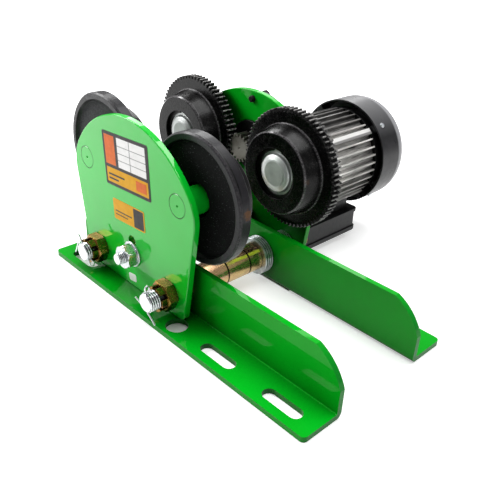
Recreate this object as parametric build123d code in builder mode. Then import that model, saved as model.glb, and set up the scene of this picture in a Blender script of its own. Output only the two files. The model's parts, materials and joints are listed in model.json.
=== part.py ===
from build123d import *
from math import acos, atan2, cos, degrees, pi, radians, sin, sqrt, tan
import os

os.makedirs("parts", exist_ok=True)

# X runs along the beam, Y across it with the motor at +Y, Z up from the rails' underside.
# The origin is the middle of the rails' mounting slots.

# rails
rail_length = 340.0
rail_inner_y = 45.5
rail_thickness = 5.0
rail_flange_width = 40.5
rail_height = 53.5
rail_outer_bend = 5.0
rail_inner_bend = 1.0
rail_corner_radius = 4.0
rail_end_cut_length = 26.0
rail_end_cut_height = 27.5
rail_end_cut_bulge = 2.8
slot_offset_y = 72.0
outer_slot_x = 135.8
inner_slot_x = 64.3
slot_width = 12.0
slot_length = 38.0
flange_hole_x = 10.8
flange_hole_radius = 10.0

# side plates
trolley_x = -63.0
plate_thickness = 6.0
plate_top_z = 166.3
plate_bottom_half_width = 74.0
plate_shoulder_half_width = 89.4
plate_shoulder_z = 109.0
plate_shoulder_radius = 38.0
plate_bottom_radius = 7.0
plate_edge_radius = 0.9
idle_plate_gap = 8.0
drive_plate_gap = 28.5
plate_slot_width = 11.0
plate_slot_low_z = 34.0
plate_slot_high_z = 58.5
rail_bolt_z = 40.0
rail_bolt_hole_radius = 5.5

# toothed wheels and pinion
gear_module = 1.5
wheel_teeth = 72
pinion_teeth = 17
pressure_angle = radians(20.0)
tooth_thinning = 0.2
addendum_factor = 0.95
dedendum_factor = 1.25
wheel_z = 112.4
wheel_spacing = gear_module * (wheel_teeth + pinion_teeth)

# wheels
tread_radius = 38.0
tread_back_radius = 42.0
tread_length = 18.0
tread_chamfer = 1.5
idle_flange_radius = 55.5
idle_flange_thickness = 12.0
idle_rim_inner_radius = 49.5
idle_dish_depth = 3.5
idle_dish_draft = 2.0
idle_edge_chamfer = 1.6
gear_face_width = 10.0
drive_wheel_gap = 8.0
idle_wheel_gap = 11.0
hub_opening_radius = 15.0

# wheel bearing, cap and retaining ring
bearing_outer_radius = 23.5
bearing_bore_radius = 10.0
bearing_width = 14.0
bearing_seal_depth = 0.8
bearing_ring = 2.5
bearing_inner_ring_radius = 14.0
bearing_outer_ring_radius = 20.5
ring_depth = 3.2
ring_thickness = 1.5
ring_groove_slack = 0.1
ring_groove_radius = 24.8
ring_outer_radius = 24.6
ring_inner_radius = 20.3
ring_gap_width = 9.0
cap_sheet = 1.0
cap_dome_radius = 18.2
cap_flat_radius = 13.5
cap_shoulder_radius = 16.8
cap_shoulder_depth = 1.4
cap_face_depth = 0.3

# axles
axle_plate_radius = 10.25
axle_boss_radius = 12.0
axle_rim_chamfer = 0.5
centre_hole_radius = 1.4
centre_hole_depth = 1.6
axle_end_radius = 12.5
axle_end_length = 1.5
running_clearance = 0.02
side_clearance = 0.2

# cross shafts, nuts, spacers
rod_radius = 9.0
rod_hole_clearance = 0.3
rod_offset_x = 54.0
rod_z = 25.0
left_rod_overhang = 21.0
right_rod_overhang = 25.7
rod_drive_overhang = 18.0
rod_end_chamfer = 1.5
nut_across_flats = 25.0
nut_hex_height = 10.0
nut_hex_chamfer = 1.2
nut_chamfer_angle = radians(30.0)
nut_crown_height = 6.0
nut_crown_radius = 11.6
nut_slot_width = 4.5
spacer_wall = 4.2
spacer_chamfer = 0.7
long_spacer_end_y = -7.0
middle_spacer_end_y = 20.0
washer_radius = 18.5
washer_thickness = 2.5
washer_count = 4

# gear housing and reduction stage
stage_module = 1.0
stage_gear_teeth = 61
stage_pinion_teeth = 12
motor_drop = 23.4
spigot_radius = 24.5
spigot_clearance = 0.3
spigot_reach = 2.0
housing_flange_radius = 50.5
housing_flange_thickness = 8.0
housing_depth = 28.0
housing_radius = 35.0
housing_bolt_distance = 46.0
housing_bolt_hole_radius = 3.4
housing_bolts = 4
motor_pinion_room = 11.0
motor_shaft_hole_radius = 8.5

# output shaft
pinion_front_y = 63.0
pinion_length = 13.5
output_radius = 6.0
output_collar_radius = 8.0
output_rear_radius = 5.0
front_bearing_radius = 14.0
front_bearing_width = 8.0
rear_bearing_radius = 11.0
rear_bearing_width = 6.0
stage_gear_width = 12.0
stage_side_room = 3.0
stage_room_clearance = 1.0
stage_pinion_overlap = 1.0
bearing_wall = 0.5
shaft_hole_radius = 9.0
stage_hub_radius = 13.0
stage_web_radius = 25.0
stage_web_recess = 3.0

# motor
shield_thickness = 14.0
shield_cover_thickness = 3.0
shield_boss_wall = 3.0
frame_bore_radius = 40.0
frame_root_radius = 43.5
fin_radius = 47.5
fin_count = 36
fin_thickness = 1.6
frame_length = 60.0
lug_angle = 43.0
lug_count = 4
lug_width = 6.4
lug_radius = 49.0
lug_hole_radius = 2.2
lug_hole_distance = 45.5
pad_width = 46.0
pad_length = 44.0
pad_sink = 10.0
stator_bore_radius = 24.0
stator_slots = 24
stator_slot_width = 3.0
stator_slot_depth = 9.0
winding_inner_radius = 26.0
winding_outer_radius = 37.5
winding_length = 10.0
winding_end_room = 2.5
winding_bar_step = 0.5
air_gap = 0.4
rotor_shaft_radius = 7.5
rotor_core_radius = 9.0
motor_bearing_radius = 17.5
motor_bearing_width = 11.0
rear_shield_thickness = 13.0
rear_shield_plate = 5.0
rear_shield_hub_radius = 22.0
cowl_radius = 55.6
cowl_sheet = 1.6
cowl_length = 46.0
cowl_start = 2.0
cowl_edge_radius = 18.0
cowl_arm_width = 8.0
cowl_arm_length = 13.0
cowl_slots = 12
cowl_slot_width = 4.0
cowl_slot_inner = 14.0
cowl_slot_margin = 1.6
fan_radius = 44.0
fan_disc_thickness = 2.0
fan_width = 14.0
fan_start = 4.0
fan_blades = 8
fan_blade_inner = 15.0
fan_blade_thickness = 2.0
fan_hub_radius = 11.0
fan_bore_radius = 6.0

# terminal box
box_width = 60.0
box_height = 21.0
box_length = 83.5
box_cowl_clearance = 0.4
box_rod_clearance = 0.5
box_wall = 2.5
box_lip = 1.5
box_lip_height = 3.5
box_radius = 4.0
lid_height = 6.0
lid_corner_radius = 1.0
lead_hole_radius = 6.0
capacitor_width = 26.0
capacitor_height = 14.0
capacitor_length = 22.0
capacitor_edge = 2.0
capacitor_offset_y = 10.0

# how far cutting shapes reach past the faces they cut
cut_overrun = 1.0

# planes and positions that follow from the sizes above
rail_outer_face = rail_inner_y + rail_thickness
rail_edge_y = rail_inner_y + rail_flange_width
# the plates stand on the rails' flats
plate_bottom_z = rail_thickness
idle_plate_in = -(rail_outer_face + idle_plate_gap)
idle_plate_out = idle_plate_in - plate_thickness
drive_plate_in = rail_outer_face + drive_plate_gap
drive_plate_out = drive_plate_in + plate_thickness
wheel_right_x = trolley_x + wheel_spacing / 2
wheel_left_x = trolley_x - wheel_spacing / 2
drive_flange_back = drive_plate_in - drive_wheel_gap
drive_face_y = drive_flange_back - gear_face_width - tread_length
idle_flange_back = idle_plate_in + idle_wheel_gap
idle_face_y = idle_flange_back + idle_flange_thickness + tread_length
cap_flange_depth = ring_depth + ring_thickness
bearing_depth = cap_flange_depth + cap_sheet
bearing_end_depth = bearing_depth + bearing_width
rod_end_y = drive_plate_out + rod_drive_overhang
stage_distance = stage_module * (stage_gear_teeth + stage_pinion_teeth) / 2
motor_x = trolley_x + sqrt(stage_distance**2 - motor_drop**2)
motor_z = wheel_z - motor_drop
housing_end_y = drive_plate_out + housing_depth
shield_end_y = housing_end_y + shield_thickness
frame_end_y = shield_end_y + frame_length
rear_shield_end_y = frame_end_y + rear_shield_thickness
stator_start_y = shield_end_y + winding_end_room + winding_length
stator_length = frame_end_y - shield_end_y - 2 * (winding_end_room + winding_length)
cowl_front_y = frame_end_y + cowl_start
cowl_end_y = cowl_front_y + cowl_length
cowl_slot_outer = cowl_radius - cowl_edge_radius - cowl_slot_margin
# the box starts behind the cross shafts' ends and passes under the cowl
box_top_z = motor_z - cowl_radius - box_cowl_clearance
box_bottom_z = box_top_z - box_height
box_front_y = rod_end_y + box_rod_clearance + box_lip
box_middle_y = box_front_y + box_length / 2
pad_top_z = motor_z - frame_bore_radius + pad_sink
output_bearing_y = drive_plate_in + bearing_wall
housing_floor_y = drive_plate_out + housing_flange_thickness
stage_gear_y = housing_floor_y + stage_side_room
stage_angle = atan2(-motor_drop, motor_x - trolley_x)
stage_middle_x = (trolley_x + motor_x) / 2
stage_middle_z = (wheel_z + motor_z) / 2
motor_bearing_y = shield_end_y - motor_bearing_width
rear_bearing_end_y = frame_end_y + motor_bearing_width
fan_y = rear_shield_end_y + fan_start


def across(x, y, z):
    """Plane square to Y, with X to the right and Z up; a negative extrusion goes to +Y."""
    return Plane(origin=(x, y, z), x_dir=(1, 0, 0), z_dir=(0, -1, 0))


def save(piece, label):
    piece.part.label = label
    export_step(piece.part, "parts/" + label + ".step")


def turned(x, z, points):
    """Solid of revolution about the line along Y through x, z; points are (radius, y)."""
    with BuildPart() as piece:
        with BuildSketch(Plane(origin=(x, 0, z), x_dir=(1, 0, 0), z_dir=(0, 0, 1))):
            with BuildLine():
                Polyline(*points, close=True)
            make_face()
        revolve(axis=Axis((x, 0, z), (0, 1, 0)))
    return piece


def tooth_points(teeth, module, first_tooth_angle):
    """Outline of a spur gear with involute flanks, one tooth centred on first_tooth_angle."""
    pitch = teeth * module / 2
    base = pitch * cos(pressure_angle)
    root = pitch - dedendum_factor * module
    tip = pitch + addendum_factor * module
    half_tooth = (pi * module / 2 - tooth_thinning) / 2 / pitch
    flank_start = max(base, root)
    flank = [flank_start, (flank_start + tip) / 2, tip]

    def half_angle(radius):
        roll = acos(min(1.0, base / radius))
        involute = tan(roll) - roll
        return half_tooth + tan(pressure_angle) - pressure_angle - involute

    rising = [(radius, -half_angle(radius)) for radius in flank]
    if root < base:
        rising.insert(0, (root, -half_angle(base)))
    profile = rising + [(radius, -angle) for radius, angle in reversed(rising)]
    points = []
    for tooth in range(teeth):
        centre = first_tooth_angle + 2 * pi * tooth / teeth
        points += [(radius * cos(centre + angle), radius * sin(centre + angle)) for radius, angle in profile]
    return points


def rail(side):
    """L rail; side is -1 for the idle side and 1 for the drive side."""
    with BuildPart() as piece:
        with BuildSketch(Plane.YZ):
            with BuildLine():
                Polyline(
                    (side * rail_inner_y, 0),
                    (side * rail_edge_y, 0),
                    (side * rail_edge_y, rail_thickness),
                    (side * rail_outer_face, rail_thickness),
                    (side * rail_outer_face, rail_height),
                    (side * rail_inner_y, rail_height),
                    close=True,
                )
            make_face()
            heel = vertices().sort_by_distance((side * rail_inner_y, 0))[0]
            fillet(heel, rail_outer_bend)
            throat = vertices().sort_by_distance((side * rail_outer_face, rail_thickness))[0]
            fillet(throat, rail_inner_bend)
        extrude(amount=rail_length / 2, both=True)
        corners = edges().filter_by(Axis.Z).group_by(SortBy.LENGTH)[0]
        fillet(corners.group_by(Axis.Y)[-1 if side > 0 else 0], rail_corner_radius)
        # arced cut at both ends of the upright
        for end in (-1, 1):
            cut_x = end * (rail_length / 2 - rail_end_cut_length)
            end_x = end * rail_length / 2
            low_z = rail_height - rail_end_cut_height
            middle_x = (cut_x + end_x) / 2 + end * rail_end_cut_bulge
            middle_z = (rail_height + low_z) / 2 + rail_end_cut_bulge
            with BuildSketch(across(0, side * (rail_inner_y + rail_thickness / 2), 0)):
                with BuildLine():
                    ThreePointArc((cut_x, rail_height), (middle_x, middle_z), (end_x, low_z))
                    Polyline(
                        (end_x, low_z),
                        (end_x + end * cut_overrun, low_z),
                        (end_x + end * cut_overrun, rail_height + cut_overrun),
                        (cut_x, rail_height + cut_overrun),
                        (cut_x, rail_height),
                    )
                make_face()
            extrude(amount=rail_thickness, both=True, mode=Mode.SUBTRACT)
        # slots and hole in the flat
        with BuildSketch(Plane.XY):
            with Locations(*[(x, side * slot_offset_y) for x in (-outer_slot_x, inner_slot_x, outer_slot_x)]):
                SlotOverall(slot_length, slot_width)
            with Locations((flange_hole_x, side * slot_offset_y)):
                Circle(flange_hole_radius)
        extrude(amount=rail_thickness, mode=Mode.SUBTRACT)
        # holes in the upright for the cross shafts and the plate's bolt
        with BuildSketch(across(trolley_x, side * (rail_inner_y + rail_thickness / 2), 0)):
            with Locations((-rod_offset_x, rod_z), (rod_offset_x, rod_z)):
                Circle(rod_radius + rod_hole_clearance)
            with Locations((0, rail_bolt_z)):
                Circle(rail_bolt_hole_radius)
        extrude(amount=rail_thickness, both=True, mode=Mode.SUBTRACT)
    return piece


def side_plate(outer_y, driven):
    """Side plate between outer_y and outer_y + plate_thickness."""
    with BuildPart() as piece:
        with BuildSketch(across(trolley_x, outer_y, 0)):
            with BuildLine():
                Polyline(
                    (-plate_shoulder_half_width, plate_shoulder_z),
                    (-plate_bottom_half_width, plate_bottom_z),
                    (plate_bottom_half_width, plate_bottom_z),
                    (plate_shoulder_half_width, plate_shoulder_z),
                )
                ThreePointArc(
                    (plate_shoulder_half_width, plate_shoulder_z),
                    (0, plate_top_z),
                    (-plate_shoulder_half_width, plate_shoulder_z),
                )
            make_face()
            fillet(vertices().group_by(Axis.Y)[-1], plate_shoulder_radius)
            fillet(vertices().group_by(Axis.Y)[0], plate_bottom_radius)
            with Locations((-wheel_spacing / 2, wheel_z), (wheel_spacing / 2, wheel_z)):
                Circle(axle_plate_radius, mode=Mode.SUBTRACT)
            with Locations((-rod_offset_x, rod_z), (rod_offset_x, rod_z)):
                Circle(rod_radius + rod_hole_clearance, mode=Mode.SUBTRACT)
            with Locations((0, (plate_slot_low_z + plate_slot_high_z) / 2)):
                SlotOverall(
                    plate_slot_high_z - plate_slot_low_z,
                    plate_slot_width,
                    rotation=90,
                    mode=Mode.SUBTRACT,
                )
            if driven:
                with Locations((0, wheel_z)):
                    Circle(spigot_radius + spigot_clearance, mode=Mode.SUBTRACT)
                    with PolarLocations(housing_bolt_distance, housing_bolts, start_angle=90):
                        Circle(housing_bolt_hole_radius, mode=Mode.SUBTRACT)
        extrude(amount=-plate_thickness)
        outline = [face.outer_wire().edges() for face in faces().filter_by(Axis.Y)]
        fillet([edge for ring in outline for edge in ring], plate_edge_radius)
    return piece


def wheel_axle(x, outer_y, inner_y, bearing_near_y, bearing_far_y, inward):
    """Axle from the plate's outer face to the far side of the wheel bearing."""
    boss_end = bearing_near_y - inward * side_clearance
    end_start = bearing_far_y + inward * side_clearance
    journal = bearing_bore_radius - running_clearance
    return turned(
        x,
        wheel_z,
        [
            (0, outer_y + inward * centre_hole_depth),
            (centre_hole_radius, outer_y),
            (axle_plate_radius - axle_rim_chamfer, outer_y),
            (axle_plate_radius, outer_y + inward * axle_rim_chamfer),
            (axle_plate_radius, inner_y),
            (axle_boss_radius, inner_y),
            (axle_boss_radius, boss_end),
            (journal, boss_end),
            (journal, end_start),
            (axle_end_radius, end_start),
            (axle_end_radius, end_start + inward * axle_end_length),
            (0, end_start + inward * axle_end_length),
        ],
    )


def sealed_bearing(x, z, start_y, bore, outer, width, recess_in, recess_out, recess):
    """Sealed ball bearing with its seals set back from the rings' faces."""
    end_y = start_y + width
    return turned(
        x,
        z,
        [
            (bore, start_y),
            (recess_in, start_y),
            (recess_in, start_y + recess),
            (recess_out, start_y + recess),
            (recess_out, start_y),
            (outer, start_y),
            (outer, end_y),
            (recess_out, end_y),
            (recess_out, end_y - recess),
            (recess_in, end_y - recess),
            (recess_in, end_y),
            (bore, end_y),
        ],
    )


def hub_points(face_y, away, grooved):
    """Bore side of a wheel, from the tread face to the end of the bearing seat."""
    groove = face_y + away * (ring_depth - ring_groove_slack)
    groove_end = face_y + away * (cap_flange_depth + ring_groove_slack)
    seat_end = face_y + away * bearing_end_depth
    ring_groove = [
        (bearing_outer_radius, groove),
        (ring_groove_radius, groove),
        (ring_groove_radius, groove_end),
        (bearing_outer_radius, groove_end),
    ]
    return [
        (bearing_outer_radius, face_y),
        *(ring_groove if grooved else []),
        (bearing_outer_radius, seat_end),
        (hub_opening_radius, seat_end),
    ]


def idle_wheel(x):
    tread_end = idle_face_y - tread_length
    dish_y = idle_flange_back + idle_dish_depth
    points = hub_points(idle_face_y, -1, False) + [
        (hub_opening_radius, dish_y),
        (idle_rim_inner_radius - idle_dish_draft, dish_y),
        (idle_rim_inner_radius, idle_flange_back),
        (idle_flange_radius - idle_edge_chamfer, idle_flange_back),
        (idle_flange_radius, idle_flange_back + idle_edge_chamfer),
        (idle_flange_radius, tread_end - idle_edge_chamfer),
        (idle_flange_radius - idle_edge_chamfer, tread_end),
        (tread_back_radius, tread_end),
        (tread_radius, idle_face_y - tread_chamfer),
        (tread_radius - tread_chamfer, idle_face_y),
    ]
    return turned(x, wheel_z, points)


def drive_wheel(x, first_tooth_angle):
    gear_front = drive_face_y + tread_length
    points = hub_points(drive_face_y, 1, True) + [
        (hub_opening_radius, drive_flange_back),
        (tread_back_radius, drive_flange_back),
        (tread_back_radius, gear_front),
        (tread_radius, drive_face_y + tread_chamfer),
        (tread_radius - tread_chamfer, drive_face_y),
    ]
    with BuildPart() as piece:
        with BuildSketch(Plane(origin=(x, 0, wheel_z), x_dir=(1, 0, 0), z_dir=(0, 0, 1))):
            with BuildLine():
                Polyline(*points, close=True)
            make_face()
        revolve(axis=Axis((x, 0, wheel_z), (0, 1, 0)))
        with BuildSketch(across(x, gear_front, wheel_z)):
            with BuildLine():
                Polyline(*tooth_points(wheel_teeth, gear_module, first_tooth_angle), close=True)
            make_face()
            Circle(tread_radius - tread_chamfer, mode=Mode.SUBTRACT)
        extrude(amount=-gear_face_width)
    return piece


def bearing_cap(x, face_y, away):
    """Pressed cap: flat top, rounded shoulder and a flange that sits on the bearing."""
    front = face_y + away * cap_face_depth
    back = front + away * cap_sheet
    shoulder = front + away * cap_shoulder_depth
    flange_front = face_y + away * cap_flange_depth
    flange_back = face_y + away * bearing_depth
    return turned(
        x,
        wheel_z,
        [
            (0, front),
            (cap_flat_radius, front),
            (cap_shoulder_radius, shoulder),
            (cap_dome_radius, flange_front),
            (bearing_outer_radius, flange_front),
            (bearing_outer_radius, flange_back),
            (cap_dome_radius - cap_sheet, flange_back),
            (cap_shoulder_radius - cap_sheet, shoulder + away * cap_sheet),
            (cap_flat_radius - cap_sheet, back),
            (0, back),
        ],
    )


def retaining_ring(x, face_y):
    """Open ring seated on the cap's flange, its gap at the top."""
    with BuildPart() as piece:
        with BuildSketch(across(x, face_y + ring_depth, wheel_z)):
            Circle(ring_outer_radius)
            Circle(ring_inner_radius, mode=Mode.SUBTRACT)
            with Locations((0, ring_outer_radius)):
                Rectangle(ring_gap_width, ring_outer_radius, mode=Mode.SUBTRACT)
        extrude(amount=-ring_thickness)
    return piece


def castle_nut(x, seat_y, outward):
    """Hexagon nut with a slotted crown; outward is the sense along Y away from the plate."""
    end_y = seat_y + outward * nut_hex_height
    crown_y = end_y + outward * nut_crown_height
    with BuildPart() as piece:
        with BuildSketch(across(x, seat_y, rod_z)):
            RegularPolygon(nut_across_flats / 2, 6, major_radius=False)
        extrude(amount=-outward * nut_hex_height)
        flat = nut_across_flats / 2
        corner = flat + nut_hex_chamfer / tan(nut_chamfer_angle)
        with BuildSketch(Plane(origin=(x, 0, rod_z), x_dir=(1, 0, 0), z_dir=(0, 0, 1))):
            with BuildLine():
                Polyline(
                    (0, seat_y),
                    (flat, seat_y),
                    (corner, seat_y + outward * nut_hex_chamfer),
                    (corner, end_y - outward * nut_hex_chamfer),
                    (flat, end_y),
                    (0, end_y),
                    close=True,
                )
            make_face()
        revolve(axis=Axis((x, 0, rod_z), (0, 1, 0)), mode=Mode.INTERSECT)
        with BuildSketch(across(x, end_y, rod_z)):
            Circle(nut_crown_radius)
        extrude(amount=-outward * nut_crown_height)
        with BuildSketch(across(x, crown_y, rod_z)):
            for turn in (30, 90, 150):
                Rectangle(2 * nut_across_flats, nut_slot_width, rotation=turn)
        extrude(amount=outward * nut_crown_height, mode=Mode.SUBTRACT)
        with BuildSketch(across(x, seat_y, rod_z)):
            Circle(rod_radius)
        extrude(amount=-outward * (nut_hex_height + nut_crown_height), mode=Mode.SUBTRACT)
    return piece


def tube(x, start_y, end_y, outer, rings=1):
    """Tube on a cross shaft; with more rings, a stack of washers with a groove at each joint."""
    bore = rod_radius + rod_hole_clearance
    ring_length = (end_y - start_y) / rings
    points = [(bore, start_y), (outer - spacer_chamfer, start_y)]
    for ring in range(rings):
        low_y = start_y + ring * ring_length
        high_y = low_y + ring_length
        points.append((outer, low_y + spacer_chamfer))
        points.append((outer, high_y - spacer_chamfer))
        points.append((outer - spacer_chamfer, high_y))
    points.append((bore, end_y))
    return turned(x, rod_z, points)


# rails and plates
save(rail(-1), "rail_idle_side")
save(rail(1), "rail_drive_side")
save(side_plate(idle_plate_out, False), "plate_idle_side")
save(side_plate(drive_plate_in, True), "plate_drive_side")

# wheels with axles, bearings, caps and rings; a pinion tooth points at the right wheel
for side_name, wheel_x, tooth_angle in (
    ("left", wheel_left_x, 0.0),
    ("right", wheel_right_x, pi / wheel_teeth),
):
    idle_bearing_y = idle_face_y - bearing_end_depth
    drive_bearing_y = drive_face_y + bearing_depth
    idle_bearing_end = idle_bearing_y + bearing_width
    drive_bearing_end = drive_bearing_y + bearing_width
    save(
        wheel_axle(wheel_x, idle_plate_out, idle_plate_in, idle_bearing_y, idle_bearing_end, 1),
        "axle_idle_" + side_name,
    )
    save(
        wheel_axle(wheel_x, drive_plate_out, drive_plate_in, drive_bearing_end, drive_bearing_y, -1),
        "axle_drive_" + side_name,
    )
    save(idle_wheel(wheel_x), "wheel_idle_" + side_name)
    save(drive_wheel(wheel_x, tooth_angle), "wheel_drive_" + side_name)
    for wheel_kind, seat_y, face_y, away in (
        ("idle", idle_bearing_y, idle_face_y, -1),
        ("drive", drive_bearing_y, drive_face_y, 1),
    ):
        wheel_bearing = sealed_bearing(
            wheel_x,
            wheel_z,
            seat_y,
            bearing_bore_radius,
            bearing_outer_radius,
            bearing_width,
            bearing_inner_ring_radius,
            bearing_outer_ring_radius,
            bearing_seal_depth,
        )
        save(wheel_bearing, "bearing_" + wheel_kind + "_" + side_name)
        save(bearing_cap(wheel_x, face_y, away), "cap_" + wheel_kind + "_" + side_name)
    save(retaining_ring(wheel_x, drive_face_y), "ring_drive_" + side_name)

# cross shafts with nuts, spacers and washers
spacer_radius = rod_radius + rod_hole_clearance + spacer_wall
for side_name, rod_x, overhang in (
    ("left", trolley_x - rod_offset_x, left_rod_overhang),
    ("right", trolley_x + rod_offset_x, right_rod_overhang),
):
    tip_y = idle_plate_out - overhang
    rod = turned(
        rod_x,
        rod_z,
        [
            (0, tip_y),
            (rod_radius - rod_end_chamfer, tip_y),
            (rod_radius, tip_y + rod_end_chamfer),
            (rod_radius, rod_end_y - rod_end_chamfer),
            (rod_radius - rod_end_chamfer, rod_end_y),
            (0, rod_end_y),
        ],
    )
    washer_y = rail_inner_y - washer_count * washer_thickness
    save(rod, "cross_shaft_" + side_name)
    save(castle_nut(rod_x, idle_plate_out, -1), "nut_idle_" + side_name)
    save(castle_nut(rod_x, drive_plate_out, 1), "nut_drive_" + side_name)
    save(tube(rod_x, idle_plate_in, -rail_outer_face, spacer_radius), "spacer_idle_" + side_name)
    save(tube(rod_x, rail_outer_face, drive_plate_in, spacer_radius), "spacer_drive_" + side_name)
    save(tube(rod_x, -rail_inner_y, long_spacer_end_y, spacer_radius), "spacer_long_" + side_name)
    save(tube(rod_x, long_spacer_end_y, middle_spacer_end_y, spacer_radius), "spacer_middle_" + side_name)
    save(tube(rod_x, middle_spacer_end_y, washer_y, spacer_radius), "spacer_short_" + side_name)
    save(tube(rod_x, washer_y, rail_inner_y, washer_radius, washer_count), "washer_" + side_name)


# gear housing on the drive plate, its spigot through the plate
with BuildPart() as gear_housing:
    with BuildSketch(across(trolley_x, drive_plate_out, wheel_z)):
        Circle(housing_flange_radius)
    extrude(amount=-housing_flange_thickness)
    with BuildSketch(across(trolley_x, drive_plate_in - spigot_reach, wheel_z)):
        Circle(spigot_radius)
    extrude(amount=-(spigot_reach + plate_thickness))
    with BuildSketch(across(stage_middle_x, drive_plate_out, stage_middle_z)):
        SlotCenterToCenter(stage_distance, 2 * housing_radius, rotation=degrees(stage_angle))
    extrude(amount=-housing_depth)
    with BuildSketch(across(0, housing_floor_y, 0)):
        with Locations((trolley_x, wheel_z)):
            Circle(stage_module * stage_gear_teeth / 2 + stage_module + stage_room_clearance)
        with Locations((stage_middle_x, stage_middle_z)):
            SlotCenterToCenter(stage_distance, 2 * motor_pinion_room, rotation=degrees(stage_angle))
    extrude(amount=-housing_depth, mode=Mode.SUBTRACT)
    with BuildSketch(across(trolley_x, output_bearing_y, wheel_z)):
        Circle(front_bearing_radius)
    extrude(amount=-(housing_floor_y - output_bearing_y), mode=Mode.SUBTRACT)
    with BuildSketch(across(trolley_x, drive_plate_in - spigot_reach, wheel_z)):
        Circle(shaft_hole_radius)
    extrude(amount=-(spigot_reach + plate_thickness), mode=Mode.SUBTRACT)
    with BuildSketch(across(trolley_x, drive_plate_out, wheel_z)):
        with PolarLocations(housing_bolt_distance, housing_bolts, start_angle=90):
            Circle(housing_bolt_hole_radius)
    extrude(amount=-housing_flange_thickness, mode=Mode.SUBTRACT)
save(gear_housing, "gear_housing")

# front shield, whose thin cover also closes the gear housing
with BuildPart() as front_shield:
    with BuildSketch(across(0, housing_end_y, 0)):
        with Locations((stage_middle_x, stage_middle_z)):
            SlotCenterToCenter(stage_distance, 2 * housing_radius, rotation=degrees(stage_angle))
    extrude(amount=-shield_cover_thickness)
    with BuildSketch(across(trolley_x, housing_end_y, wheel_z)):
        Circle(rear_bearing_radius + shield_boss_wall)
    extrude(amount=-(rear_bearing_width + shield_boss_wall))
    with BuildSketch(across(motor_x, housing_end_y, motor_z)):
        Circle(fin_radius)
        with PolarLocations(lug_radius - lug_width / 2, lug_count, start_angle=lug_angle):
            Rectangle(lug_width, lug_width)
    extrude(amount=-shield_thickness)
    with BuildSketch(across(trolley_x, housing_end_y, wheel_z)):
        Circle(rear_bearing_radius)
    extrude(amount=-rear_bearing_width, mode=Mode.SUBTRACT)
    with BuildSketch(across(motor_x, motor_bearing_y, motor_z)):
        Circle(motor_bearing_radius)
    extrude(amount=-motor_bearing_width, mode=Mode.SUBTRACT)
    with BuildSketch(across(motor_x, housing_end_y, motor_z)):
        Circle(motor_shaft_hole_radius)
    extrude(amount=-shield_thickness, mode=Mode.SUBTRACT)
save(front_shield, "front_shield")

# finned motor frame with bolt lugs and the pad for the terminal box
with BuildPart() as motor_frame:
    with BuildSketch(across(motor_x, shield_end_y, motor_z)):
        Circle(frame_root_radius)
        with PolarLocations((frame_bore_radius + fin_radius) / 2, fin_count, start_angle=lug_angle):
            Rectangle(fin_radius - frame_bore_radius, fin_thickness)
        with PolarLocations(lug_radius - lug_width / 2, lug_count, start_angle=lug_angle):
            Rectangle(lug_width, lug_width)
    extrude(amount=-frame_length)
    with BuildSketch(Plane.XY.offset(box_top_z)):
        with Locations((motor_x, (shield_end_y + frame_end_y) / 2)):
            Rectangle(pad_width, pad_length)
    extrude(amount=pad_top_z - box_top_z)
    with BuildSketch(across(motor_x, shield_end_y, motor_z)):
        Circle(frame_bore_radius)
        with PolarLocations(lug_hole_distance, lug_count, start_angle=lug_angle):
            Circle(lug_hole_radius)
    extrude(amount=-frame_length, mode=Mode.SUBTRACT)
    with BuildSketch(Plane.XY.offset(box_top_z)):
        with Locations((motor_x, (shield_end_y + frame_end_y) / 2)):
            Circle(lead_hole_radius)
    extrude(amount=pad_top_z - box_top_z, mode=Mode.SUBTRACT)
save(motor_frame, "motor_frame")

# stator core and its winding, which fills the slots and turns over at both ends
with BuildPart() as stator_core:
    with BuildSketch(across(motor_x, stator_start_y, motor_z)):
        Circle(frame_bore_radius)
        Circle(stator_bore_radius, mode=Mode.SUBTRACT)
        with PolarLocations(stator_bore_radius + stator_slot_depth / 2, stator_slots):
            Rectangle(stator_slot_depth + air_gap, stator_slot_width, mode=Mode.SUBTRACT)
    extrude(amount=-stator_length)
save(stator_core, "stator_core")

with BuildPart() as winding:
    for head_y in (stator_start_y - winding_length, stator_start_y + stator_length):
        with BuildSketch(across(motor_x, head_y, motor_z)):
            Circle(winding_outer_radius)
            Circle(winding_inner_radius, mode=Mode.SUBTRACT)
        extrude(amount=-winding_length)
    with BuildSketch(across(motor_x, stator_start_y, motor_z)):
        bar_end = stator_bore_radius + stator_slot_depth
        bar_start = winding_inner_radius + winding_bar_step
        with PolarLocations((bar_start + bar_end) / 2, stator_slots):
            Rectangle(bar_end - bar_start, stator_slot_width)
    extrude(amount=-stator_length)
save(winding, "winding")

# rear shield with four arms that carry the cowl
with BuildPart() as rear_shield:
    with BuildSketch(across(motor_x, frame_end_y, motor_z)):
        Circle(fin_radius)
        with PolarLocations(lug_radius - lug_width / 2, lug_count, start_angle=lug_angle):
            Rectangle(lug_width, lug_width)
    extrude(amount=-rear_shield_plate)
    with BuildSketch(across(motor_x, frame_end_y, motor_z)):
        Circle(rear_shield_hub_radius)
    extrude(amount=-rear_shield_thickness)
    with BuildSketch(across(motor_x, cowl_front_y, motor_z)):
        arm_end = cowl_radius - cowl_sheet
        for turn in (lug_angle, lug_angle + 90):
            Rectangle(2 * arm_end, cowl_arm_width, rotation=turn)
        Circle(arm_end, mode=Mode.INTERSECT)
        Circle(fin_radius - lug_width / 2, mode=Mode.SUBTRACT)
    extrude(amount=-cowl_arm_length)
    with BuildSketch(across(motor_x, frame_end_y, motor_z)):
        Circle(motor_bearing_radius)
    extrude(amount=-motor_bearing_width, mode=Mode.SUBTRACT)
    with BuildSketch(across(motor_x, frame_end_y, motor_z)):
        Circle(motor_shaft_hole_radius)
    extrude(amount=-rear_shield_thickness, mode=Mode.SUBTRACT)
save(rear_shield, "rear_shield")

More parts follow.
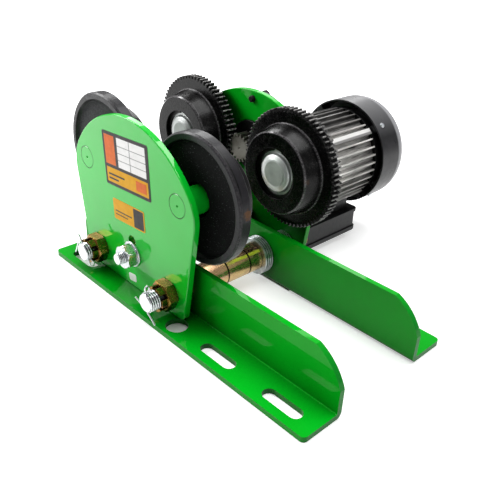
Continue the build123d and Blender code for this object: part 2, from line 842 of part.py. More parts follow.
# fan cowl with a rounded rear edge and air slots
with BuildPart() as fan_cowl:
    with BuildSketch(Plane(origin=(motor_x, 0, motor_z), x_dir=(1, 0, 0), z_dir=(0, 0, 1))):
        inner = cowl_radius - cowl_sheet
        bend_y = cowl_end_y - cowl_edge_radius
        flat = cowl_radius - cowl_edge_radius
        with BuildLine():
            Polyline((0, cowl_end_y - cowl_sheet), (0, cowl_end_y), (flat, cowl_end_y))
            RadiusArc((flat, cowl_end_y), (cowl_radius, bend_y), cowl_edge_radius)
            Polyline(
                (cowl_radius, bend_y),
                (cowl_radius, cowl_front_y),
                (inner, cowl_front_y),
                (inner, bend_y),
            )
            RadiusArc((inner, bend_y), (flat, cowl_end_y - cowl_sheet), -(cowl_edge_radius - cowl_sheet))
            Line((flat, cowl_end_y - cowl_sheet), (0, cowl_end_y - cowl_sheet))
        make_face()
    revolve(axis=Axis((motor_x, 0, motor_z), (0, 1, 0)))
    with BuildSketch(across(motor_x, cowl_end_y - 2 * cowl_sheet, motor_z)):
        with PolarLocations((cowl_slot_inner + cowl_slot_outer) / 2, cowl_slots):
            SlotOverall(cowl_slot_outer - cowl_slot_inner, cowl_slot_width)
    extrude(amount=-3 * cowl_sheet, mode=Mode.SUBTRACT)
save(fan_cowl, "fan_cowl")

# terminal box, its lid and the capacitor in it
with BuildPart() as terminal_box:
    with BuildSketch(Plane.XY.offset(box_bottom_z)):
        with Locations((motor_x, box_middle_y)):
            RectangleRounded(box_width, box_length, box_radius)
    extrude(amount=box_height)
    with BuildSketch(Plane.XY.offset(box_top_z - box_lip_height)):
        with Locations((motor_x, box_middle_y)):
            RectangleRounded(box_width + 2 * box_lip, box_length + 2 * box_lip, box_radius + box_lip)
    extrude(amount=box_lip_height)
    with BuildSketch(Plane.XY.offset(box_bottom_z)):
        with Locations((motor_x, box_middle_y)):
            RectangleRounded(box_width - 2 * box_wall, box_length - 2 * box_wall, box_radius - box_wall)
    extrude(amount=box_height - box_wall, mode=Mode.SUBTRACT)
    with BuildSketch(Plane.XY.offset(box_top_z - box_wall)):
        with Locations((motor_x, (shield_end_y + frame_end_y) / 2)):
            Circle(lead_hole_radius)
    extrude(amount=box_wall, mode=Mode.SUBTRACT)
save(terminal_box, "terminal_box")

with BuildPart() as terminal_lid:
    lid_width = box_width + 2 * box_lip
    lid_length = box_length + 2 * box_lip
    with BuildSketch(Plane.XY.offset(box_bottom_z - lid_height)):
        with Locations((motor_x, box_middle_y)):
            RectangleRounded(lid_width, lid_length, box_radius + box_lip)
    extrude(amount=lid_height)
    fillet(faces().sort_by(Axis.Z)[0].edges(), box_wall)
    with BuildSketch(Plane.XY.offset(box_bottom_z - lid_height + box_wall)):
        with Locations((motor_x, box_middle_y)):
            RectangleRounded(box_width - 2 * box_wall, box_length - 2 * box_wall, lid_corner_radius)
    extrude(amount=lid_height, mode=Mode.SUBTRACT)
save(terminal_lid, "terminal_lid")

with BuildPart() as capacitor:
    with BuildSketch(Plane.XY.offset(box_top_z - box_wall)):
        with Locations((motor_x, box_front_y + capacitor_offset_y + capacitor_length / 2)):
            RectangleRounded(capacitor_width, capacitor_length, capacitor_edge)
    extrude(amount=-capacitor_height)
save(capacitor, "capacitor")

# output shaft with its pinion, reduction gear and bearings
pinion_end_y = pinion_front_y + pinion_length
collar_end_y = output_bearing_y - side_clearance
rear_seat_end_y = housing_end_y + rear_bearing_width - side_clearance
rear_seat_y = housing_end_y - side_clearance
output_shaft = turned(
    trolley_x,
    wheel_z,
    [
        (0, pinion_front_y + centre_hole_depth),
        (centre_hole_radius, pinion_front_y),
        (output_radius, pinion_front_y),
        (output_radius, pinion_end_y),
        (output_collar_radius, pinion_end_y),
        (output_collar_radius, collar_end_y),
        (output_radius, collar_end_y),
        (output_radius, rear_seat_y),
        (output_rear_radius, rear_seat_y),
        (output_rear_radius, rear_seat_end_y),
        (0, rear_seat_end_y),
    ],
)
save(output_shaft, "output_shaft")

with BuildPart() as pinion:
    with BuildSketch(across(trolley_x, pinion_front_y, wheel_z)):
        with BuildLine():
            Polyline(*tooth_points(pinion_teeth, gear_module, 0.0), close=True)
        make_face()
        Circle(output_radius, mode=Mode.SUBTRACT)
    extrude(amount=-pinion_length)
save(pinion, "pinion")

with BuildPart() as reduction_gear:
    with BuildSketch(across(trolley_x, stage_gear_y, wheel_z)):
        with BuildLine():
            Polyline(*tooth_points(stage_gear_teeth, stage_module, stage_angle), close=True)
        make_face()
        Circle(output_radius, mode=Mode.SUBTRACT)
    extrude(amount=-stage_gear_width)
    for recess_y in (stage_gear_y, stage_gear_y + stage_gear_width - stage_web_recess):
        with BuildSketch(across(trolley_x, recess_y, wheel_z)):
            Circle(stage_web_radius)
            Circle(stage_hub_radius, mode=Mode.SUBTRACT)
        extrude(amount=-stage_web_recess, mode=Mode.SUBTRACT)
save(reduction_gear, "reduction_gear")

output_front_bearing = sealed_bearing(
    trolley_x,
    wheel_z,
    output_bearing_y,
    output_radius + running_clearance,
    front_bearing_radius,
    front_bearing_width,
    output_collar_radius,
    front_bearing_radius - bearing_ring,
    bearing_seal_depth,
)
save(output_front_bearing, "bearing_output_front")
output_rear_bearing = sealed_bearing(
    trolley_x,
    wheel_z,
    housing_end_y,
    output_rear_radius + running_clearance,
    rear_bearing_radius,
    rear_bearing_width,
    output_rear_radius + bearing_ring,
    rear_bearing_radius - bearing_ring,
    bearing_seal_depth,
)
save(output_rear_bearing, "bearing_output_rear")

# rotor: shaft with its pinion, core and fan
stage_pinion_y = stage_gear_y - stage_pinion_overlap
stage_pinion_end_y = stage_gear_y + stage_gear_width + stage_pinion_overlap
fan_end_y = fan_y + fan_disc_thickness + fan_width
journal = rotor_shaft_radius - running_clearance
with BuildPart() as rotor_shaft:
    with BuildSketch(Plane(origin=(motor_x, 0, motor_z), x_dir=(1, 0, 0), z_dir=(0, 0, 1))):
        with BuildLine():
            Polyline(
                (0, stage_pinion_end_y),
                (journal, stage_pinion_end_y),
                (journal, shield_end_y + side_clearance),
                (rotor_core_radius, shield_end_y + side_clearance),
                (rotor_core_radius, frame_end_y - side_clearance),
                (journal, frame_end_y - side_clearance),
                (journal, rear_bearing_end_y + side_clearance),
                (fan_bore_radius, rear_bearing_end_y + side_clearance),
                (fan_bore_radius, fan_end_y),
                (0, fan_end_y),
                close=True,
            )
        make_face()
    revolve(axis=Axis((motor_x, 0, motor_z), (0, 1, 0)))
    gap_angle = stage_angle + pi + pi / stage_pinion_teeth
    with BuildSketch(across(motor_x, stage_pinion_y, motor_z)):
        with BuildLine():
            Polyline(*tooth_points(stage_pinion_teeth, stage_module, gap_angle), close=True)
        make_face()
    extrude(amount=-(stage_pinion_end_y - stage_pinion_y))
save(rotor_shaft, "rotor_shaft")

rotor_core = turned(
    motor_x,
    motor_z,
    [
        (rotor_core_radius, stator_start_y),
        (stator_bore_radius - air_gap, stator_start_y),
        (stator_bore_radius - air_gap, stator_start_y + stator_length),
        (rotor_core_radius, stator_start_y + stator_length),
    ],
)
save(rotor_core, "rotor_core")

with BuildPart() as fan:
    with BuildSketch(across(motor_x, fan_y, motor_z)):
        Circle(fan_radius)
    extrude(amount=-fan_disc_thickness)
    with BuildSketch(across(motor_x, fan_y, motor_z)):
        Circle(fan_hub_radius)
        with PolarLocations((fan_blade_inner + fan_radius) / 2, fan_blades):
            Rectangle(fan_radius - fan_blade_inner, fan_blade_thickness)
    extrude(amount=-(fan_disc_thickness + fan_width))
    with BuildSketch(across(motor_x, fan_y, motor_z)):
        Circle(fan_bore_radius)
    extrude(amount=-(fan_disc_thickness + fan_width), mode=Mode.SUBTRACT)
save(fan, "fan")

for bearing_name, bearing_y in (
    ("bearing_motor_front", motor_bearing_y),
    ("bearing_motor_rear", frame_end_y),
):
    motor_bearing = sealed_bearing(
        motor_x,
        motor_z,
        bearing_y,
        rotor_shaft_radius,
        motor_bearing_radius,
        motor_bearing_width,
        rotor_shaft_radius + bearing_ring,
        motor_bearing_radius - bearing_ring,
        bearing_seal_depth,
    )
    save(motor_bearing, bearing_name)
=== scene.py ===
import json
import math

import bmesh
import bpy
from mathutils import Matrix, Vector


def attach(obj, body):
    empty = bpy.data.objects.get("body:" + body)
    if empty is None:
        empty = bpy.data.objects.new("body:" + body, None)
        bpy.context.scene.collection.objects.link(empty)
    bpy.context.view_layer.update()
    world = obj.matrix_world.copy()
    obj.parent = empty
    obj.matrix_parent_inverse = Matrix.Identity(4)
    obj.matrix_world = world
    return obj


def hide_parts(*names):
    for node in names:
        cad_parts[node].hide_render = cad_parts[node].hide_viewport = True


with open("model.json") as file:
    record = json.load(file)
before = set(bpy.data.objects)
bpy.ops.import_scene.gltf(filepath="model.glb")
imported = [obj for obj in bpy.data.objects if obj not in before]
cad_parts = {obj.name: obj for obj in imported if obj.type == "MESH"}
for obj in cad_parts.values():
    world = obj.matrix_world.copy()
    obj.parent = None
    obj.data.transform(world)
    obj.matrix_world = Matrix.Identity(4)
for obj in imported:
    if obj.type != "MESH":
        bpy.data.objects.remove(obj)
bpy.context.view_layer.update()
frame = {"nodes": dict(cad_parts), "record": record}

nodes = frame["nodes"]
scene = bpy.context.scene

# Sizes in metres, in the part's frame: X along the beam, Y across it, Z up.
SIDES = ("left", "right")
TROLLEY_X = -0.063
IDLE_OUT, IDLE_IN = -0.0645, -0.0585
DRIVE_IN, DRIVE_OUT = 0.079, 0.085
RAIL_INSIDE, RAIL_THICKNESS = 0.0455, 0.005
WHEEL_HALF_SPACING = 0.06675
WHEEL_X = (TROLLEY_X - WHEEL_HALF_SPACING, TROLLEY_X + WHEEL_HALF_SPACING)
WHEEL_Z = 0.1124
AXLE_HEAD_RADIUS = 0.01025
TREAD_EDGES = (0.0376, 0.0418)
IDLE_TREAD_Y = (-0.0175, -0.0355)
IDLE_FACE_Y = -0.0475
IDLE_FLANGE_EDGE = 0.0548
DRIVE_TREAD_Y = (0.043, 0.061)
ROD_HALF_SPACING = 0.054
ROD_X = (TROLLEY_X - ROD_HALF_SPACING, TROLLEY_X + ROD_HALF_SPACING)
ROD_Z = 0.025
SPACER_JOINTS_Y = (-0.007, 0.020)
WASHERS_Y, WASHER_THICKNESS = 0.0355, 0.0025
MOTOR_X, MOTOR_Z = -0.03499, 0.089
LUG_ANGLE = 43
COWL_DOME_Y = (0.2155, 0.2175)

# Pairs of sizes between which a look sets in.
IDLE_DISH = (0.0488, 0.0470)
IDLE_RIM = (0.0494, 0.0499)
IDLE_OUTSIDE = (0.0540, 0.0545)
TOOTH_FLANKS = (0.0520, 0.0532)
TOOTH_TIPS = (0.0546, 0.0552)
CAP_SHOULDER = (0.0110, 0.0118)
CAP_DRAW = (0.0138, 0.0112)
FIN_FLANKS = (0.0390, 0.0425)
FIN_TIPS = (0.0466, 0.0473)
FIN_LIMIT = (0.0500, 0.0495)
LUG_OUT = (0.0440, 0.0446)
LUG_HALF_WIDTH = (0.0036, 0.0033)

# The Mix node's sockets for colours, which share their names with others.
MIX_FIRST, MIX_SECOND, MIX_RESULT = 6, 7, 2


def srgb(red, green, blue):
    """Linear colour with alpha from display values of 0 to 255."""

    def linear(value):
        value /= 255
        return value / 12.92 if value <= 0.04045 else ((value + 0.055) / 1.055) ** 2.4

    return (linear(red), linear(green), linear(blue), 1.0)


class Nodes:
    """A node tree, and short ways to add nodes to it."""

    def __init__(self, tree):
        self.tree = tree

    def add(self, kind, **settings):
        node = self.tree.nodes.new(kind)
        for name, value in settings.items():
            setattr(node, name, value)
        return node

    def put(self, value, socket):
        """Links a socket, or writes a constant."""
        if isinstance(value, bpy.types.NodeSocket):
            self.tree.links.new(value, socket)
        else:
            socket.default_value = value

    def maths(self, operation, first, second=0.0):
        node = self.add("ShaderNodeMath", operation=operation)
        self.put(first, node.inputs[0])
        self.put(second, node.inputs[1])
        return node.outputs[0]

    def times(self, product, *others):
        """Product of sockets and numbers."""
        for other in others:
            product = self.maths("MULTIPLY", product, other)
        return product

    def off(self, value, middle):
        """How far a value is from another, either way."""
        return self.maths("ABSOLUTE", self.maths("SUBTRACT", value, middle))

    def span(self, value, low, high, to_low=0.0, to_high=1.0):
        """Value mapped from low..high to to_low..to_high, clamped."""
        node = self.add("ShaderNodeMapRange", clamp=True)
        node.inputs["From Min"].default_value = low
        node.inputs["From Max"].default_value = high
        node.inputs["To Min"].default_value = to_low
        node.inputs["To Max"].default_value = to_high
        self.put(value, node.inputs["Value"])
        return node.outputs[0]


class Shade(Nodes):
    """A node material: its Principled shader, and what its looks are made from."""

    def __init__(self, name, **sockets):
        self.material = bpy.data.materials.new(name)
        self.material.use_nodes = True
        super().__init__(self.material.node_tree)
        self.shader = self.tree.nodes["Principled BSDF"]
        self.place = self.add("ShaderNodeTexCoord").outputs["Object"]
        for socket, value in sockets.items():
            self.set(socket.replace("_", " "), value)

    def set(self, socket, value):
        self.put(value, self.shader.inputs[socket])

    def base(self, colour):
        """Sets the base colour and keeps it, for others to be laid over it."""
        self.colour = colour
        self.set("Base Color", colour)

    def recolour(self, factor, colour):
        """Lays a colour over what the material has, where factor is 1."""
        self.base(self.mix(factor, self.colour, colour))

    def mix(self, factor, first, second):
        node = self.add("ShaderNodeMix", data_type="RGBA")
        self.put(factor, node.inputs["Factor"])
        self.put(first, node.inputs[MIX_FIRST])
        self.put(second, node.inputs[MIX_SECOND])
        return node.outputs[MIX_RESULT]

    def axis(self, name):
        """Place along an axis of the part's frame."""
        split = self.add("ShaderNodeSeparateXYZ")
        self.put(self.place, split.inputs[0])
        return split.outputs[name]

    def facing(self, name):
        """How far the surface faces along an axis, from -1 to 1."""
        split = self.add("ShaderNodeSeparateXYZ")
        self.put(self.add("ShaderNodeTexCoord").outputs["Normal"], split.inputs[0])
        return split.outputs[name]

    def from_line(self, x, z):
        """Offsets along X and Z from the line along Y through x, z."""
        return self.maths("SUBTRACT", self.axis("X"), x), self.maths("SUBTRACT", self.axis("Z"), z)

    def radius(self, x, z):
        """Distance from the line along Y through x, z."""
        across, up = self.from_line(x, z)
        square = self.maths("ADD", self.times(across, across), self.times(up, up))
        return self.maths("SQRT", square)

    def open_sky(self, distance):
        """How free the surface is of others around it, from 0 to 1."""
        node = self.add("ShaderNodeAmbientOcclusion", samples=8)
        node.inputs["Distance"].default_value = distance
        return node.outputs["AO"]

    def noise(self, scale, detail=4.0, rough=0.55, stretch=None):
        node = self.add("ShaderNodeTexNoise")
        node.inputs["Scale"].default_value = scale
        node.inputs["Detail"].default_value = detail
        node.inputs["Roughness"].default_value = rough
        place = self.place
        if stretch:
            mapping = self.add("ShaderNodeMapping")
            mapping.inputs["Scale"].default_value = stretch
            self.put(place, mapping.inputs["Vector"])
            place = mapping.outputs[0]
        self.put(place, node.inputs["Vector"])
        return node.outputs["Fac"]

    def soften(self, radius):
        """Rounds the look of sharp edges; comes before any bump."""
        node = self.add("ShaderNodeBevel", samples=6)
        node.inputs["Radius"].default_value = radius
        self.set("Normal", node.outputs[0])

    def bump(self, height, strength, distance):
        """Adds a bump on top of what is already linked to the shader's normal."""
        node = self.add("ShaderNodeBump")
        node.inputs["Strength"].default_value = strength
        node.inputs["Distance"].default_value = distance
        self.put(height, node.inputs["Height"])
        normal = self.shader.inputs["Normal"]
        if normal.is_linked:
            self.put(normal.links[0].from_socket, node.inputs["Normal"])
        self.put(node.outputs[0], normal)


# green paint


def paint(name, main, shade, coat, coat_index):
    """Glossy sprayed paint: slight cloudiness, orange peel and fine dust."""
    made = Shade(name, Coat_Weight=coat, Coat_IOR=coat_index, Coat_Roughness=0.03, Specular_IOR_Level=0.03)
    made.base(made.mix(made.span(made.noise(18, 3), 0.35, 0.65), main, shade))
    dust = made.span(made.noise(2600, 2, 0.4), 0.72, 0.78)
    made.recolour(made.times(dust, 0.08), srgb(120, 190, 120))
    made.set("Roughness", made.span(made.noise(60, 4), 0.3, 0.7, 0.30, 0.42))
    made.bump(made.noise(300, 3, 0.5), 0.09, 0.0003)
    return made


def shaded_paint(name):
    """Paint of the parts that stand close to others, with painted shade: darker green where these keep the
    light off.
    """
    made = paint(name, srgb(2, 174, 32), srgb(1, 166, 26), coat=0.35, coat_index=1.4)
    # painted shade: darker green where ambient occlusion finds other parts close by
    made.recolour(made.span(made.open_sky(0.08), 0.70, 0.25, 0.0, 0.85), srgb(0, 60, 6))
    return made


green = shaded_paint("green_paint")
rail_green = shaded_paint("rail_green")
# painted shade: the faces towards +X are painted darker green
rail_green.recolour(rail_green.span(rail_green.facing("X"), 0.3, 0.9, 0.0, 0.55), srgb(0, 80, 34))
plate_green = paint("plate_green", srgb(4, 195, 46), srgb(3, 187, 38), coat=0.62, coat_index=1.7)
for x in WHEEL_X:
    seam = plate_green.off(plate_green.radius(x, WHEEL_Z), AXLE_HEAD_RADIUS)
    plate_green.recolour(plate_green.span(seam, 0.0006, 0.0002, 0.0, 0.75), srgb(0, 78, 12))


# black enamel


def enamel(name, dark, light, grain, strength, rough):
    """Black enamel over a casting: grainy surface, worn or dusty patches."""
    made = Shade(name, Coat_Weight=0.2, Coat_Roughness=0.14, Specular_IOR_Level=0.12)
    made.base(made.mix(made.span(made.noise(90, 5, 0.6), 0.42, 0.7), dark, light))
    made.uneven = made.span(made.noise(170, 4), 0.3, 0.7, rough - 0.08, rough + 0.12)
    made.set("Roughness", made.uneven)
    made.soften(0.0009)
    made.bump(made.noise(grain, 5, 0.62), strength, 0.0005)
    return made


def wheel_enamel(name, x, dark, light, strength, rough, edges):
    """Enamel of one wheel: pale specks, of grit and painted sparkle, and paler edges, worn and with painted
    highlights, given by their radius and place along Y.
    Also gives the distance from the wheel's axis, and the edges' masks."""
    made = enamel(name, dark, light, grain=520, strength=strength, rough=rough)
    # pale specks: grit, and painted sparkle of the grainy enamel
    grit_and_sparkle = made.span(made.noise(1500, 3, 0.6), 0.60, 0.70)
    made.recolour(made.times(grit_and_sparkle, 0.35), srgb(104, 100, 98))
    reach = made.radius(x, WHEEL_Z)
    worn_and_highlight = made.span(made.noise(700, 4, 0.6), 0.35, 0.6)
    masks = []
    for edge_radius, edge_y in edges:
        near = made.span(made.off(reach, edge_radius), 0.0012, 0.0002)
        beside = made.span(made.off(made.axis("Y"), edge_y), 0.0022, 0.0006)
        masks.append(made.times(near, beside))
        # paler edges: wear, and painted highlights along them
        made.recolour(made.times(masks[-1], worn_and_highlight, 0.75), srgb(118, 115, 118))
    return made, reach, masks


def idle_enamel(name, x, dish_tone_and_sheen):
    """Enamel of an idle wheel: dish in a tone of its own, with painted sparkle in specks, a paler rim and a
    dark seam round the flange.
    """
    edges = [*zip(TREAD_EDGES, IDLE_TREAD_Y), (IDLE_FLANGE_EDGE, IDLE_FACE_Y + 0.0008)]
    made, reach, _ = wheel_enamel(name, x, srgb(6, 6, 7), srgb(13, 13, 15), 0.5, 0.34, edges)
    deep = made.span(made.axis("Y"), IDLE_FACE_Y + 0.006, IDLE_FACE_Y + 0.004)
    dish = made.times(made.span(reach, *IDLE_DISH), deep)
    # the dish's tone, which on the left wheel is partly a painted sheen
    made.recolour(made.times(dish, made.span(made.noise(900, 3), 0.3, 0.6, 0.4, 0.9)), dish_tone_and_sheen)
    # pale specks in the dish: painted sparkle
    speck_sparkle = made.span(made.noise(1100, 4, 0.6), 0.64, 0.70)
    made.recolour(made.times(dish, speck_sparkle, 0.8), srgb(104, 106, 108))
    rim = made.times(made.span(reach, *IDLE_RIM), made.span(made.noise(140, 4), 0.3, 0.7, 0.6, 1.0))
    made.recolour(made.times(rim, 0.8), srgb(38, 37, 41))
    beside = made.off(made.axis("Y"), IDLE_FACE_Y + 0.0030)
    seam = made.times(made.span(beside, 0.0009, 0.0004), made.span(reach, *IDLE_OUTSIDE))
    made.recolour(made.times(seam, made.span(made.noise(45, 3), 0.36, 0.48)), srgb(2, 2, 2))
    made.set("Coat Weight", made.span(dish, 0.0, 1.0, 0.15, 0.0))
    made.set("Roughness", made.maths("MAXIMUM", made.uneven, made.times(dish, 0.8)))
    return made


def drive_enamel(name, x):
    """Enamel of a drive wheel: glossy worn edges, and teeth paler towards their tips, rubbed and with
    painted glints.
    """
    edges = zip(TREAD_EDGES, DRIVE_TREAD_Y)
    made, reach, masks = wheel_enamel(name, x, srgb(3, 3, 3), srgb(9, 9, 10), 0.35, 0.2, edges)
    made.set("Coat Weight", made.span(made.maths("MAXIMUM", *masks), 0.0, 1.0, 0.05, 1.0))
    rubbed_and_glinting = made.span(made.noise(260, 4, 0.6), 0.38, 0.62)
    # tooth flanks and tips painted paler: wear, and painted glints
    made.recolour(made.times(made.span(reach, *TOOTH_FLANKS), rubbed_and_glinting, 0.6), srgb(64, 62, 63))
    made.recolour(made.times(made.span(reach, *TOOTH_TIPS), rubbed_and_glinting, 0.8), srgb(168, 166, 164))
    return made


def rust(made, centre, size, depth):
    """Lays a rust spot that is ragged at its edge over a material."""
    away = made.add("ShaderNodeVectorMath", operation="DISTANCE")
    made.put(made.place, away.inputs[0])
    made.put(centre, away.inputs[1])
    waver = made.span(made.noise(420, 3), 0.2, 0.8, -size / 2, size / 2)
    spot = made.span(made.maths("ADD", away.outputs["Value"], waver), size, size * 0.4)
    made.recolour(made.times(spot, depth), srgb(94, 55, 1))


def fin_enamel(name):
    """Thin black motor paint, bright towards the fins' edges and on the motor's lug, as bare metal and
    painted highlights, and grey under the lug as painted shade.
    """
    made = enamel(name, srgb(14, 14, 15), srgb(38, 37, 37), grain=420, strength=0.25, rough=0.42)
    reach = made.radius(MOTOR_X, MOTOR_Z)
    across, up = made.from_line(MOTOR_X, MOTOR_Z)
    turn = made.maths("ARCTAN2", up, across)
    streak = made.span(made.noise(380, 5, 0.7, (1, 0.06, 1)), 0.31, 0.52)
    area = made.span(made.noise(26, 3, 0.5, (1, 0.7, 1)), 0.34, 0.54, 0.6, 1.0)
    outward = made.span(turn, 1.15, 0.75, 0.14, 1.0)
    downward = made.span(turn, -0.05, -0.45, 1.0, 0.5)
    forward = made.span(made.axis("Y"), 0.188, 0.150, 0.2, 1.0)
    sides = made.times(made.span(reach, *FIN_FLANKS, 0.6, 1.0), streak, forward)
    tips = made.times(made.span(reach, *FIN_TIPS), made.span(streak, 0.0, 1.0, 0.55, 1.0))
    fins = made.times(made.maths("MAXIMUM", sides, tips), made.span(reach, *FIN_LIMIT))
    # fins painted bright on the sides towards the light: bare metal and painted highlights
    bare_and_lit = made.times(fins, area, outward, downward)
    made.recolour(bare_and_lit, srgb(246, 243, 239))
    made.set("Metallic", made.times(bare_and_lit, 0.2))
    cosine, sine = math.cos(math.radians(LUG_ANGLE)), math.sin(math.radians(LUG_ANGLE))
    out = made.maths("ADD", made.times(across, cosine), made.times(up, sine))
    aside = made.maths("SUBTRACT", made.times(up, cosine), made.times(across, sine))
    width = made.span(made.maths("ABSOLUTE", aside), *LUG_HALF_WIDTH)
    lug = made.times(made.span(out, *LUG_OUT), width)
    # the lug's top painted bright: painted highlight
    made.recolour(made.times(lug, 0.8), srgb(244, 243, 241))
    # the lug's lower side painted grey: painted shade
    made.recolour(made.times(lug, made.span(aside, -0.0002, -0.0010), 0.75), srgb(70, 70, 70))
    return made


black_casting = enamel(
    "black_casting", srgb(8, 8, 9), srgb(17, 17, 19), grain=480, strength=0.30, rough=0.40
)
dark_aluminium = fin_enamel("dark_aluminium")
dark_sheet = enamel(
    "dark_sheet", srgb(30, 30, 32), srgb(40, 39, 42), grain=1200, strength=0.10, rough=0.34
)
dark_sheet.set("Coat Weight", 0.3)
dark_sheet.set("Coat Roughness", 0.3)
# painted highlight: the faces that look up are painted paler
dark_sheet.recolour(dark_sheet.span(dark_sheet.facing("Z"), 0.5, 1.0, 0.0, 0.45), srgb(150, 150, 152))
# painted reflection: the cowl's dome is painted pale
dark_sheet.recolour(dark_sheet.span(dark_sheet.axis("Y"), *COWL_DOME_Y, 0.0, 0.85), srgb(158, 158, 161))


# bare and plated metal


def metal(name, main, shade, rough, streak=None, scale=60, grain=0.08, edge=0.0):
    """Clouded metal with a fine grain, which streak stretches; edge rounds the look of its edges."""
    made = Shade(name, Metallic=1.0)
    if edge:
        made.soften(edge)
    made.base(made.mix(made.span(made.noise(scale, 4), 0.35, 0.68), main, shade))
    fine = made.noise(900, 3, 0.5, streak)
    made.set("Roughness", made.span(fine, 0.3, 0.7, rough - 0.06, rough + 0.1))
    made.bump(fine, grain, 0.0002)
    return made


def cap_zinc(name, x, level):
    """Zinc plate of a pressed bearing cap: satin face, and a smoother drawn shoulder painted bright as a
    painted highlight; level scales all its tones, for lit and shaded copies.
    """
    face, cloud, shoulder_highlight = (
        srgb(*(level * part for part in tone))
        for tone in ((178, 184, 180), (158, 164, 160), (196, 200, 198))
    )
    made = metal(name, face, cloud, 0.5, scale=120, grain=0.05, edge=0.0018)
    reach = made.radius(x, WHEEL_Z)
    drawn = made.span(reach, *CAP_SHOULDER)
    # the drawn shoulder painted brighter: painted highlight
    made.recolour(drawn, shoulder_highlight)
    made.set("Roughness", made.span(drawn, 0.0, 1.0, 0.62, 0.45))
    made.bump(made.span(reach, *CAP_DRAW), 1.0, 0.0007)
    return made


def spacer_zinc(name, x):
    """Yellow zinc plate of the tubes on one rod: pale and rosy, with a greenish band along it that is a
    painted reflection.
    """
    made = metal(
        name, srgb(204, 178, 122), srgb(186, 152, 106), 0.24, streak=(1, 0.2, 1), scale=120, grain=0.012
    )
    made.recolour(made.span(made.noise(90, 3, 0.5, (1, 0.15, 1)), 0.50, 0.66), srgb(204, 160, 136))
    spots = made.span(made.noise(420, 5, 0.65), 0.48, 0.58)
    near_washers = made.span(made.axis("Y"), 0.016, 0.024)
    on_top = made.span(made.axis("Z"), ROD_Z + 0.006, ROD_Z + 0.010)
    made.recolour(made.times(spots, near_washers, on_top, 0.9), srgb(62, 46, 28))
    # painted reflection: a greenish band at one angle round the rod
    across, up = made.from_line(x, ROD_Z)
    drift = made.span(made.noise(60, 2), 0.3, 0.7, -0.05, 0.05)
    off = made.off(made.maths("ADD", made.maths("ARCTAN2", up, across), drift), 0.87)
    reflection_band = made.times(made.span(off, 0.16, 0.08), made.span(made.axis("Y"), -0.010, 0.004))
    made.recolour(reflection_band, srgb(206, 222, 64))
    made.set("Metallic", made.span(reflection_band, 0.0, 1.0, 1.0, 0.35))
    for joint in SPACER_JOINTS_Y:
        made.recolour(made.span(made.off(made.axis("Y"), joint), 0.0011, 0.0006), srgb(30, 24, 10))
    return made


def washer_zinc(name):
    """Dull zinc plate of the stacks of washers along Y, with a dark line at each joint."""
    made = metal(name, srgb(186, 190, 192), srgb(150, 155, 158), 0.3, scale=200, grain=0.02)
    depth = made.maths("SUBTRACT", made.axis("Y"), WASHERS_Y)
    half = WASHER_THICKNESS / 2
    off_middle = made.off(made.maths("MODULO", depth, WASHER_THICKNESS), half)
    line = made.span(off_middle, half - 0.0005, half - 0.0002)
    made.recolour(made.times(line, made.span(depth, 0.0006, 0.0010)), srgb(46, 50, 50))
    return made


def thread_zinc(name, x, z, root, crest, start, end):
    """Zinc plate with painted shade in the grooves of a thread, between its ends along Y."""
    made = metal(name, srgb(236, 239, 241), srgb(216, 220, 223), 0.26)
    past_start = made.span(made.axis("Y"), start + 0.0001, start + 0.0008)
    before_end = made.span(made.axis("Y"), end - 0.0001, end - 0.0008)
    # painted shade: darker in the thread's grooves
    groove_shade = made.span(made.radius(x, z), crest, root)
    made.recolour(made.times(groove_shade, past_start, before_end), srgb(62, 66, 68))
    return made


bright_steel = metal("bright_steel", srgb(112, 110, 104), srgb(84, 81, 75), 0.38)
zinc = metal("zinc_plate", srgb(222, 225, 228), srgb(190, 194, 198), 0.28, grain=0.015)
black_oxide = metal("black_oxide_steel", srgb(44, 43, 42), srgb(28, 28, 28), 0.38)
lamination = metal("lamination_steel", srgb(120, 120, 124), srgb(86, 86, 90), 0.45, streak=(1, 40, 1))
copper = metal("enamelled_copper", srgb(150, 70, 34), srgb(110, 48, 24), 0.35, streak=(1, 40, 1))
nut_zinc = metal("nut_zinc", srgb(150, 112, 56), srgb(116, 88, 38), 0.24, scale=50, grain=0.03, edge=0.0006)
nut_zinc.recolour(nut_zinc.span(nut_zinc.noise(48, 2), 0.46, 0.62, 0.0, 0.7), srgb(92, 92, 34))
nut_zinc.recolour(nut_zinc.span(nut_zinc.noise(75, 3), 0.56, 0.68, 0.0, 0.8), srgb(196, 138, 104))
yellow_zinc = metal(
    "yellow_zinc_plate",
    srgb(206, 178, 104),
    srgb(182, 146, 88),
    0.2,
    streak=(1, 0.12, 1),
    scale=120,
    grain=0.05,
)
for pattern, low, high, tint in (
    ((90, 3, 0.5, (1, 0.12, 1)), 0.50, 0.66, srgb(214, 160, 138)),
    ((110, 3, 0.5, (1.2, 0.12, 1.3)), 0.54, 0.68, srgb(150, 170, 66)),
    ((160, 4, 0.6, (1, 0.24, 1)), 0.56, 0.70, srgb(86, 66, 30)),
):
    yellow_zinc.recolour(yellow_zinc.span(yellow_zinc.noise(*pattern), low, high), tint)


# plastic and print


def plastic(name, main, shade):
    """Moulded plastic with a fine grain."""
    made = Shade(name, Specular_IOR_Level=0.3)
    made.base(made.mix(made.span(made.noise(40, 3), 0.35, 0.65), main, shade))
    made.set("Roughness", made.span(made.noise(300, 3), 0.3, 0.7, 0.35, 0.48))
    made.bump(made.noise(1400, 2), 0.15, 0.0003)
    return made


